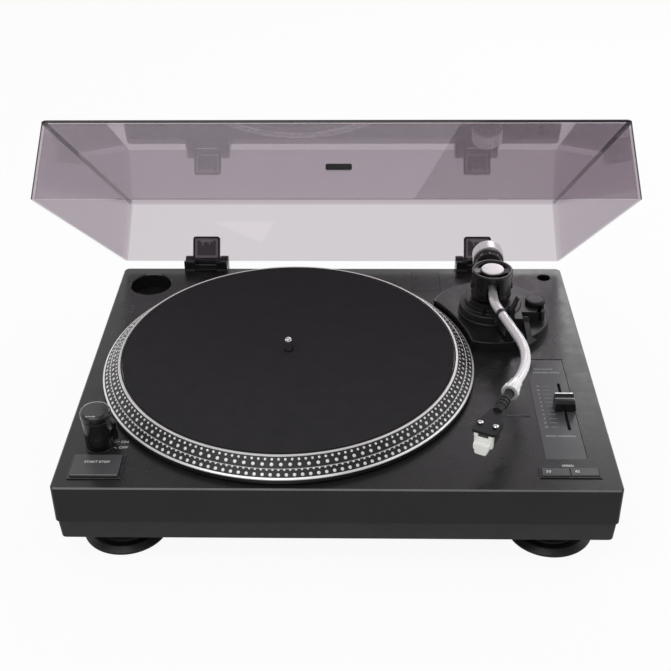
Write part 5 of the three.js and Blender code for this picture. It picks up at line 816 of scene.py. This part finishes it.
def lid_zones(bm):
    """Splits the cover where the inner faces, carried on, meet the outer ones. Past two of those planes lies a
    strip with another wall edge-on behind it; it gets a nearly black tint, painted shade for the dark line that
    light bent in the sheet gives there. The rim is a zone of its own, with a darker tint painted for the same
    darkening along the sheet's end."""
    centre = sum((v.co for v in bm.verts), Vector()) / len(bm.verts)
    inner = [(f.calc_center_median(), f.normal.copy()) for f in bm.faces
             if f.calc_area() > 0.004 and f.normal.dot(centre - f.calc_center_median()) > 0]
    for at, normal in inner:
        cut_along(bm, at, normal)
    down = AT_LID.to_3x3() @ Vector((0, 0, -1))
    rear = max(range(len(inner)), key=lambda k: inner[k][0].y)
    for face in bm.faces:
        at = face.calc_center_median()
        past = [k for k, (spot, normal) in enumerate(inner) if normal.dot(spot - at) > LID_STRIP]
        # the edge strips and the rim take the painted dark tints
        if len(past) > 1 and rear not in past:
            face.material_index = 1
        elif face.normal.dot(down) > 0.9 and len(past) == 1:
            face.material_index = 2


def dust_cover():
    refined("dust_cover", ["smoke", "smoke_painted_dark_edge", "smoke_painted_dark_rim"], bevel=0.25,
            zones=lid_zones)
    refined("lid_plaque", "plate", bevel=0.2)


def broad_face(cad, towards):
    """A frame on a node's broadest flat face on that side, with its width and height in millimetres."""
    mesh = nodes[cad].data
    facing = [p for p in mesh.polygons if p.normal.dot(towards) > 0.9]
    best = max(facing, key=lambda p: p.area)
    normal = best.normal.copy()
    across = Vector((1, 0, 0))
    up = normal.cross(across)
    points = [mesh.vertices[i].co for p in facing for i in p.vertices
              if p.normal.dot(normal) > 0.9999 and abs(normal.dot(p.center - best.center)) < 1e-5]
    u = sorted(across.dot(q) for q in points)
    v = sorted(up.dot(q) for q in points)
    centre = across * (u[0] + u[-1]) / 2 + up * (v[0] + v[-1]) / 2 + normal * normal.dot(best.center)
    return basis(centre, across, up, normal), (u[-1] - u[0]) / MM, (v[-1] - v[0]) / MM


def hinges():
    for _, side in HANDS:
        cad = f"hinge_base_{side}"
        low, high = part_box(cad)
        refined(cad, "moulded", bevel=0.35)
        for name, x in (("a", low.x), ("b", high.x - 11.5 * MM)):
            at = Matrix.Translation((x, low.y, DECK.z))
            for k in range(3):
                slab(f"hinge_rib_{side}_{name}{k}", (1.3 + 3.7 * k, -0.5, 2.4), (2.8 + 3.7 * k, 0.3, 10.2),
                     "moulded", "base", at, bevel=0.2)
            slab(f"hinge_foot_{side}_{name}", (0.5, -0.9, 0.1), (11.0, 0.3, 2.6), "grey", "base",
                 at, bevel=0.4)
        cad = f"hinge_leaf_{side}"
        face, width, height = broad_face(cad, AT_LID.to_3x3() @ Vector((0, -1, 0)))
        leaf = refined(cad, "moulded", bevel=0.35)
        body = nodes[cad]["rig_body"]
        pocket = prism("leaf_pocket", rounded(width - 3.6, height - 3.6, 1.4), -0.9, 0.4, "moulded", body,
                       face, top=0.01)
        carved(leaf, [pocket])
        for name, less, radius, low_z, high_z in (("leaf_ring", 3.8, 1.3, -1.0, -0.55),
                                                  ("leaf_well", 8.4, 1.0, -0.9, -0.35)):
            prism(f"{name}_{side}", rounded(width - less, height - less, radius), low_z, high_z, name, body,
                  face, top=0.1)
        crown = height / 2 - 4.2
        strokes(f"leaf_clip_{side}", [
            (-6.5, 6.5, crown - 1.6, crown + 0.5), (-4.6, -3.2, crown - 5.0, crown - 1.6),
            (2.4, 3.6, crown - 4.2, crown - 1.6),
        ], "print", body, face @ shift(0, 0, -0.36))


# ---- Tonearm base ----
BOARD_R = 56.0
BOARD_GAP = 3.0
BOARD_TOP = 10.0


def board_outline(hub, shrink):
    """The board's circle where it clears the platter, closed by an arc round the platter."""
    radius = BOARD_R - shrink
    room = RIM_R + BOARD_GAP + shrink
    distance = hub.length
    along = (radius ** 2 - room ** 2 + distance ** 2) / (2 * distance)
    half = math.acos(along / radius)
    toward = math.atan2(hub.y, hub.x)
    outline = []
    for k in range(97):
        angle = toward + half + (TAU - 2 * half) * k / 96
        outline.append(Vector((math.cos(angle), math.sin(angle))) * radius)
    first = math.atan2(outline[-1].y - hub.y, outline[-1].x - hub.x)
    last = math.atan2(outline[0].y - hub.y, outline[0].x - hub.x)
    for k in range(1, 32):
        angle = first + (last - first) * k / 32
        outline.append(hub + Vector((math.cos(angle), math.sin(angle))) * room)
    return outline


def arm_board():
    pivot_row = Vector(joints["tonearm_swing"]["pos_m"])
    platter_place = middle("platter")
    hub = Vector(((platter_place.x - pivot_row.x) / MM, (platter_place.y - pivot_row.y) / MM))
    place = Matrix.Translation((pivot_row.x, pivot_row.y, DECK.z))
    bm = bmesh.new()
    rings = []
    for z, shrink in ((0.0, 0.0), (BOARD_TOP - 1.2, 0.0), (BOARD_TOP - 0.7, 0.15), (BOARD_TOP - 0.3, 0.45),
                      (BOARD_TOP, 1.1)):
        rings.append([bm.verts.new((*p, z)) for p in board_outline(hub, shrink)])
    skin(bm, rings)
    bm.normal_update()
    # the top rounding along the rear arc is pale grey: a painted highlight, the line of light that edge catches
    for face in bm.faces:
        at = face.calc_center_median()
        if at.z > BOARD_TOP - 0.6 and at.y > 12 and at.xy.length > BOARD_R - 2:
            face.material_index = 1
    stands_for(piece("arm_board_cap", bm, ["satin", "pale_grey"], "base", place), "arm_board")
    return place


def arm_base(place):
    turret = lathe("arm_turret", [
        (0, 9.9), (30, 9.9), (30, 12.0), (29.2, 12.8), (29.2, 19.2), (28.4, 20.3), (26, 20.5), (25.2, 20.8),
        (24.6, 21.6), (24.6, 24.8), (23.8, 25.8), (22.5, 26), (0, 26),
    ], "moulded", "base", place, segments=128, soft=0.4)
    block_outline = [(10, -17), (46, -17)]
    for start, y in ((-math.pi / 2, -11), (0, 4)):
        for k in range(9):
            out, along = polar(6, start + math.pi / 2 * k / 8)
            block_outline.append((44.6 + out, y + along))
    block_outline += [(10, 10)]
    prism("skate_block", block_outline, 10.0, 19.35, "moulded", "base", place, top=0.8)
    slab("lever_cheek", (20, -29, 10), (27.9, -16, 19.3), "moulded", "base", place, bevel=0.5)
    sweep("lever_axle", [(27, -24, 14.8), (33.9, -24, 14.8)], 1.7, "steel", "base", place,
          sides=16)
    stands_for(turret, "arm_base")
    knob_place = upright("anti_skate_knob")
    knob = lathe("anti_skate_cap", [
        (0, 15.2), (2.4, 15.2), (2.4, 19.8), (9.0, 19.8), (9.5, 20.2), (9.6, 23.1), (9.1, 23.8), (8.4, 24.0),
        (7.6, 24.05), (7.3, 23.75), (0, 23.75),
    ], "moulded", "anti_skate_knob", knob_place, segments=180, flutes=(45, 0.35, 20.15, 23.2))
    stands_for(knob, "anti_skate_knob")
    lathe("anti_skate_face", [(0, 23.7), (7.2, 23.7), (7.2, 23.95), (0, 23.95)], "grey", "anti_skate_knob",
          knob_place, segments=64)
    refined("cue_lever", "dull", bevel=0.4, segments=3)
    for cad, bevel in (("cue_platform", 0.3), ("arm_rest", 0.4), ("arm_clip", 0.3)):
        refined(cad, "dull", bevel=bevel)


# ---- Tonearm ----
FIRST_LEG, SECOND_LEG, THIRD_LEG = 32.3, 93.3, 115.3
BEND_OUT, BEND_IN = math.radians(16.6), math.radians(40.8)
BEND_OUT_R, BEND_IN_R = 60.0, 86.0
TUBE_R = 4.3


def heading(angle):
    return Vector((math.sin(angle), -math.cos(angle), 0))


def bend(corner, start_angle, end_angle, radius, steps):
    """Points along a bend of that radius at a corner of the tube's centre line."""
    turn = end_angle - start_angle
    side = 1 if turn > 0 else -1
    start = corner - heading(start_angle) * radius * math.tan(abs(turn) / 2)
    normal = Vector((math.cos(start_angle), math.sin(start_angle), 0)) * side
    centre = start + normal * radius
    points = []
    for k in range(steps + 1):
        angle = start_angle + turn * k / steps
        points.append(centre - Vector((math.cos(angle), math.sin(angle), 0)) * side * radius)
    return points


def tube_line():
    first = heading(0) * FIRST_LEG
    second = first + heading(BEND_OUT) * SECOND_LEG
    last = BEND_OUT - BEND_IN
    end = second + heading(last) * (THIRD_LEG - LOCK_FROM_STYLUS - 9.3)
    return ([Vector((0, -6.6, 0))] + bend(first, 0, BEND_OUT, BEND_OUT_R, 14)
            + bend(second, BEND_OUT, last, BEND_IN_R, 32) + [end])


SLOT_HALF = 5.75
WINDOW_IN, WINDOW_OUT, WINDOW_SPAN = 12.0, 15.4, math.radians(58)


def housing():
    """The gimbal's drum with its slots, its pierced top and the bright cap in the middle."""
    drum = lathe("gimbal_drum", [
        (0, -49), (6, -49), (6, -9.5), (18.0, -9.5), (18.8, -8.9), (19, -8.0), (19, -4.2), (18.6, -3.9),
        (18.6, 11.2), (19, 11.5), (19, 15.9), (18.6, 16.7), (17.9, 17), (16.9, 17), (16.5, 16.6),
        (16.3, 15.4), (0, 15.4),
    ], "enamel", "arm_swing", AT_ARM, segments=128)
    cutters = [lathe("drum_room", [(0, -6.9), (15.8, -6.9), (15.8, 14.0), (0, 14.0)], "enamel", "arm_swing",
                     AT_ARM)]
    for name, low, high in (("drum_slot", (-SLOT_HALF, -20, -6), (SLOT_HALF, 20, 12)),
                            ("drum_notch", (-SLOT_HALF, 7, -11), (SLOT_HALF, 20, 0))):
        cutters.append(slab(name, low, high, "enamel", "arm_swing", AT_ARM, bevel=0))
    for k in range(4):
        start = math.radians(90 * k + 45) - WINDOW_SPAN / 2
        turns = [start + WINDOW_SPAN * i / 10 for i in range(11)]
        outline = [polar(WINDOW_OUT, turn) for turn in turns] + [polar(WINDOW_IN, turn) for turn in turns[::-1]]
        cutters.append(prism(f"drum_window_{k}", outline, 13.0, 18.0, "enamel", "arm_swing", AT_ARM,
                             top=0.01))
    carved(drum, cutters)
    stands_for(drum, "arm_housing")
    cap = lathe("gimbal_cap", [
        (0, 16.3), (9.8, 16.3), (10.5, 16.5), (10.55, 17.0), (10.1, 17.55), (9.4, 17.68), (0, 17.68),
    ], "white_metal", "arm_swing", AT_ARM)
    stands_for(cap, "housing_cap")
    lathe("cap_seat", [
        (0, 15.3), (11.4, 15.3), (11.4, 16.2), (10.9, 16.6), (10.7, 16.6), (10.7, 16.2), (0, 16.2),
    ], "enamel", "arm_swing", AT_ARM)
    for side, hand in HANDS:
        turn = Matrix.Rotation(side * math.pi / 2, 4, "Y")
        lathe(f"pivot_screw_{hand}", [
            (0, 11.6), (1.5, 11.6), (1.5, 18.7), (3.2, 18.7), (3.2, 19.3), (2.9, 19.5), (0, 19.5),
        ], "moulded", "arm_swing", AT_ARM @ turn, segments=32)


def arm():
    trunnion = lathe("trunnion_barrel", [
        (0, -11.8), (5.8, -11.8), (6.2, -11.4), (6.2, 11.4), (5.8, 11.8), (0, 11.8),
    ], "moulded", "arm_lift", AT_ARM @ Matrix.Rotation(math.pi / 2, 4, "Y"), segments=48)
    lathe("weight_stub", [(0, 4), (4.6, 4), (4.6, 65.2), (3.9, 66), (0, 66)], "satin_metal", "arm_lift",
          AT_ARM @ LAY_BACK, segments=48)
    stands_for(trunnion, "arm_trunnion")
    line = tube_line()
    tube = sweep("tonearm_tube", line, TUBE_R, "tube", "arm_lift", AT_ARM, sides=40)
    stands_for(tube, "arm_tube")
    ring_at = heading(0) * FIRST_LEG + heading(BEND_OUT) * 20.6
    ahead = heading(BEND_OUT)
    sweep("rest_band", [ring_at + ahead * along for along in (-2.4, -2.3, 2.3, 2.4)],
          [TUBE_R + over for over in (0.05, 0.3, 0.3, 0.05)], "moulded", "arm_lift", AT_ARM,
          sides=40)
    weight()


DIAL_SLOPE = 0.17


def weight():
    body = lathe("counterweight_drum", [
        (4.9, 46), (13.2, 46), (14.2, 46.1), (14.9, 46.6), (15.1, 47.4), (15.1, 59.6), (14.6, 60.9),
        (13.6, 61.7), (12.4, 62), (4.9, 62),
    ], "silver", "counterweight", AT_ARM @ LAY_BACK, segments=128, closed=True)
    stands_for(body, "counterweight")
    dial = lathe("dial_ring", [
        (4.9, 36.3), (11.6, 36.3), (12.3, 36.6), (12.7, 37.3), (13.4, 41.4), (14.3, 41.8), (14.55, 42.4),
        (14.55, 45.2), (14.2, 45.7), (4.9, 45.7),
    ], "moulded", "force_dial", AT_ARM @ LAY_BACK, segments=180, closed=True,
        flutes=(60, 0.3, 42.2, 45.4))
    stands_for(dial, "force_dial")
    lean = Matrix.Rotation(math.atan(DIAL_SLOPE), 4, "X")
    for k in range(10):
        turn = AT_ARM @ Matrix.Rotation(TAU * k / 10, 4, "Y")
        figure = f"{k * 5 / 10:g}".lstrip("0") or "0"
        words(f"dial_number_{k}", figure, 2.6, "force_dial", turn @ shift(0, 39.2, 13.13) @ lean)
        strokes(f"dial_tick_{k}", [(-0.12, 0.12, -0.35, 0.35)], "print", "force_dial",
                turn @ shift(0, 37.5, 12.83) @ lean)


def front_zone(bm):
    """The cartridge's front end is of the cream material and the rest of the black one."""
    at = AT_SHELL @ Vector((0, 2.0 * MM, 0))
    back = AT_SHELL.to_3x3() @ Vector((0, 1, 0))
    cut_along(bm, at, back)
    for face in bm.faces:
        face.material_index = 1 if back.dot(face.calc_center_median() - at) < 0 else 0


def headshell():
    collar = lathe("collar_ring", [
        (4.4, 0), (6.5, 0), (7.3, 0.5), (7.45, 1.2), (7.45, 4.4), (7.0, 5.4), (5.9, 10.5), (5.5, 15.6),
        (5.1, 16), (4.7, 16),
    ], "satin_metal", "lock_collar", AT_SHELL @ shift(0, LOCK_FROM_STYLUS) @ LAY_BACK,
        segments=144, closed=True, flutes=(12, 0.8, 0.9, 5.6))
    stands_for(collar, "lock_collar")
    refined("headshell", "dull", bevel=0.35, segments=3)
    lathe("neck_nose", [
        (3.95, 32.4), (3.95, 31.2), (3.7, 30.2), (3.1, 29.3), (2.2, 28.7), (1.2, 28.4), (0, 28.3),
    ], "dull", "arm_lift", AT_SHELL @ LAY_BACK, segments=48)
    for k in range(3):
        y = 37.5 + 4.2 * k
        lathe(f"neck_ring_{k}", [(3.9, y), (4.6, y + 0.3), (4.6, y + 1.1), (3.9, y + 1.4)], "enamel",
              "arm_lift", AT_SHELL @ LAY_BACK, segments=48, closed=True)
    for side, hand in HANDS:
        at = AT_SHELL @ shift(side * 6.35, 8.4, 1.2)
        screw = lathe(f"cartridge_screw_{hand}", [
            (0, -0.1), (2.3, -0.1), (2.4, 0.3), (2.3, 1.1), (1.7, 1.6), (0.9, 1.8), (0, 1.85),
        ], "chrome", "arm_lift", at, segments=40)
        groove = slab("screw_cut", (-0.3, -3, 1.3), (0.3, 3, 3), "chrome", "arm_lift",
                      at @ Matrix.Rotation(0.5 * side, 4, "Z"), bevel=0)
        carved(screw, [groove])
    refined("finger_lift", "grey", bevel=0.1, sharp=60)
    refined("cartridge", ["moulded", "cream"], bevel=0.3, zones=front_zone)
    slab("cartridge_bar", (-4.2, -1.9, -4.2), (4.2, -0.9, -1.6), "olive", "arm_lift",
         AT_SHELL, bevel=0.2)
    for side, hand in HANDS:
        slab(f"cartridge_ear_{hand}", (side * 6.2 - 1.4, -2.4, -4.4),
             (side * 6.2 + 1.4, -1.2, -1.35), "cream", "arm_lift", AT_SHELL, bevel=0.3)
    refined("stylus", "moulded", bevel=0.15)
    guard = prism("guard_shell", [(-4.0, -18.35), (4.0, -18.35), (5.2, -16.8), (5.2, -14.9), (6.45, -13.4),
                                  (6.45, -9.0), (-6.45, -9.0), (-6.45, -13.4), (-5.2, -14.9), (-5.2, -16.8)],
                  1.75, 6.35, "cream", "arm_lift",
                  AT_SHELL @ Matrix.Rotation(math.pi / 2, 4, "X"), top=0.6)
    stands_for(guard, "stylus_guard")


# ---- Rear sockets and the pieces inside ----


def rear():
    refined("rear_panel", "moulded", bevel=0.2)
    for side, ring in (("left", "socket_white"), ("right", "socket_red")):
        cad = f"phono_jack_{side}"
        low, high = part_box(cad)
        back = Matrix.Translation(((low.x + high.x) / 2, low.y, (low.z + high.z) / 2)) @ LAY_BACK
        long = (high.y - low.y) / MM
        refined(cad, "gold", bevel=0.15)
        lathe(f"{cad}_ring", [(4.35, long - 9.0), (5.6, long - 9.0), (5.6, long - 8.2), (4.35, long - 8.2)],
              ring, "base", back, segments=64, closed=True)
    for cad, look, bevel, slot in (("ground_terminal", "gold", 0.15, "brass"),
                                   ("usb_socket", "steel", 0.15, "plain_steel"),
                                   ("line_selector", "grey", 0.15, "key_grey"),
                                   ("mains_inlet", "moulded", 0.3, "panel_black")):
        refined(cad, look, bevel=bevel)


def inside():
    for cad, look in (("thrust_ball", "chrome"), ("bearing_housing", "brass"), ("motor", "steel"),
                      ("motor_pulley", "brass"), ("drive_belt", "rubber"), ("main_board", "board"),
                      ("power_transformer", "core")):
        dress(cad, look)


# ---- Floor, light and camera ----


def pale_surface(name, colour, seen, mirrored):
    """A diffuse stage surface of which the eye and glass see a share as plain white. Mirrors see it as a glow,
    white behind the object and grey in front: painted shade, as if the floor in front lay in less light."""
    material = bpy.data.materials.new(name)
    material.use_nodes = True
    tree = material.node_tree
    tree.nodes.clear()
    lit = node(tree, "ShaderNodeBsdfDiffuse", Color=(*colour, 1))
    glow = node(tree, "ShaderNodeEmission", Color=WHITE, Strength=1.0)
    grey = node(tree, "ShaderNodeEmission", Color=WHITE)
    apart = node(tree, "ShaderNodeSeparateXYZ")
    tree.links.new(node(tree, "ShaderNodeNewGeometry").outputs["Position"], apart.inputs[0])
    # painted shade: the glow that mirrors see drops to the mirrored strength in front of the object
    tree.links.new(spread(tree, apart.outputs["Y"], mirrored, 1.0, -0.25, 0.2), grey.inputs["Strength"])
    path = node(tree, "ShaderNodeLightPath").outputs
    direct = maths(tree, "MAXIMUM", path["Is Camera Ray"], path["Is Transmission Ray"])
    shown = mixed(tree, maths(tree, "MULTIPLY", direct, seen), lit.outputs[0], glow.outputs[0])
    tree.links.new(mixed(tree, path["Is Glossy Ray"], shown, grey.outputs[0]),
                   node(tree, "ShaderNodeOutputMaterial").inputs["Surface"])
    return material


def stage():
    bm = bmesh.new()
    bmesh.ops.create_grid(bm, x_segments=1, y_segments=1, size=12)
    mesh = bpy.data.meshes.new("floor")
    bm.to_mesh(mesh)
    bm.free()
    # 0.4 is the painted shade of the floor in front, as mirrors see it
    mesh.materials.append(pale_surface("floor_white", (0.86, 0.86, 0.86), 0.93, 0.4))
    floor = bpy.data.objects.new("floor", mesh)
    scene.collection.objects.link(floor)
    world = bpy.data.worlds.new("studio")
    scene.world = world
    world.use_nodes = True
    tree = world.node_tree
    tree.nodes.clear()
    soft, seen, mirrored = [node(tree, "ShaderNodeBackground", Color=WHITE, Strength=strength)
                            for strength in (0.5, 1.0, 1.0)]
    towards = node(tree, "ShaderNodeSeparateXYZ")
    tree.links.new(node(tree, "ShaderNodeTexCoord").outputs["Generated"], towards.inputs[0])
    behind = spread(tree, towards.outputs["Y"], 0.35, 1.0, -0.6, 0.75)
    overhead = spread(tree, towards.outputs["Z"], 1.0, 0.6, 0.5, 0.72)
    tree.links.new(maths(tree, "MULTIPLY", behind, overhead), mirrored.inputs["Strength"])
    path = node(tree, "ShaderNodeLightPath").outputs
    lit = mixed(tree, path["Is Glossy Ray"], soft.outputs[0], mirrored.outputs[0])
    tree.links.new(mixed(tree, path["Is Camera Ray"], lit, seen.outputs[0]),
                   node(tree, "ShaderNodeOutputWorld").inputs["Surface"])
    lamp("key", (-0.5, -0.7, 1.9), 1.5, 13.0)
    lamp("fill", (1.3, 0.5, 1.6), 1.2, 7.0)
    lamp("back", (0.45, 1.15, 0.70), 0.45, 1.9)


def lamp(name, place, size, power):
    light = bpy.data.lights.new(name, "AREA")
    light.shape = "SQUARE"
    light.size = size
    light.energy = power
    made = bpy.data.objects.new(name, light)
    scene.collection.objects.link(made)
    made.location = place
    made.visible_camera = False
    made.rotation_euler = (Vector((0, 0, 0.08)) - Vector(place)).to_track_quat("-Z", "Y").to_euler()


def camera():
    pitch_down, yaw, roll = 0.5737, -0.0239, -0.0106
    ahead = Vector((math.sin(yaw) * math.cos(pitch_down), math.cos(yaw) * math.cos(pitch_down),
                    -math.sin(pitch_down)))
    right = Vector((math.cos(yaw), -math.sin(yaw), 0))
    up = right.cross(ahead)
    turned_right = right * math.cos(roll) + up * math.sin(roll)
    turned_up = up * math.cos(roll) - right * math.sin(roll)
    data = bpy.data.cameras.new("camera")
    data.sensor_width = 36.0
    data.lens = 61.514
    data.clip_start = 0.01
    made = bpy.data.objects.new("camera", data)
    scene.collection.objects.link(made)
    made.matrix_world = basis(DECK + Vector((17.62, -685.39, 586.27)) * MM, turned_right, turned_up, -ahead)
    scene.camera = made


plinth()
for end in ("front", "rear"):
    for _, hand in HANDS:
        foot(f"foot_{end}_{hand}")
platter()
keys()
tower()
tower_legend()
pitch()
dust_cover()
hinges()
arm_base(arm_board())
housing()
arm()
headshell()
rear()
inside()
stage()
camera()
scene.view_settings.view_transform = "Standard"
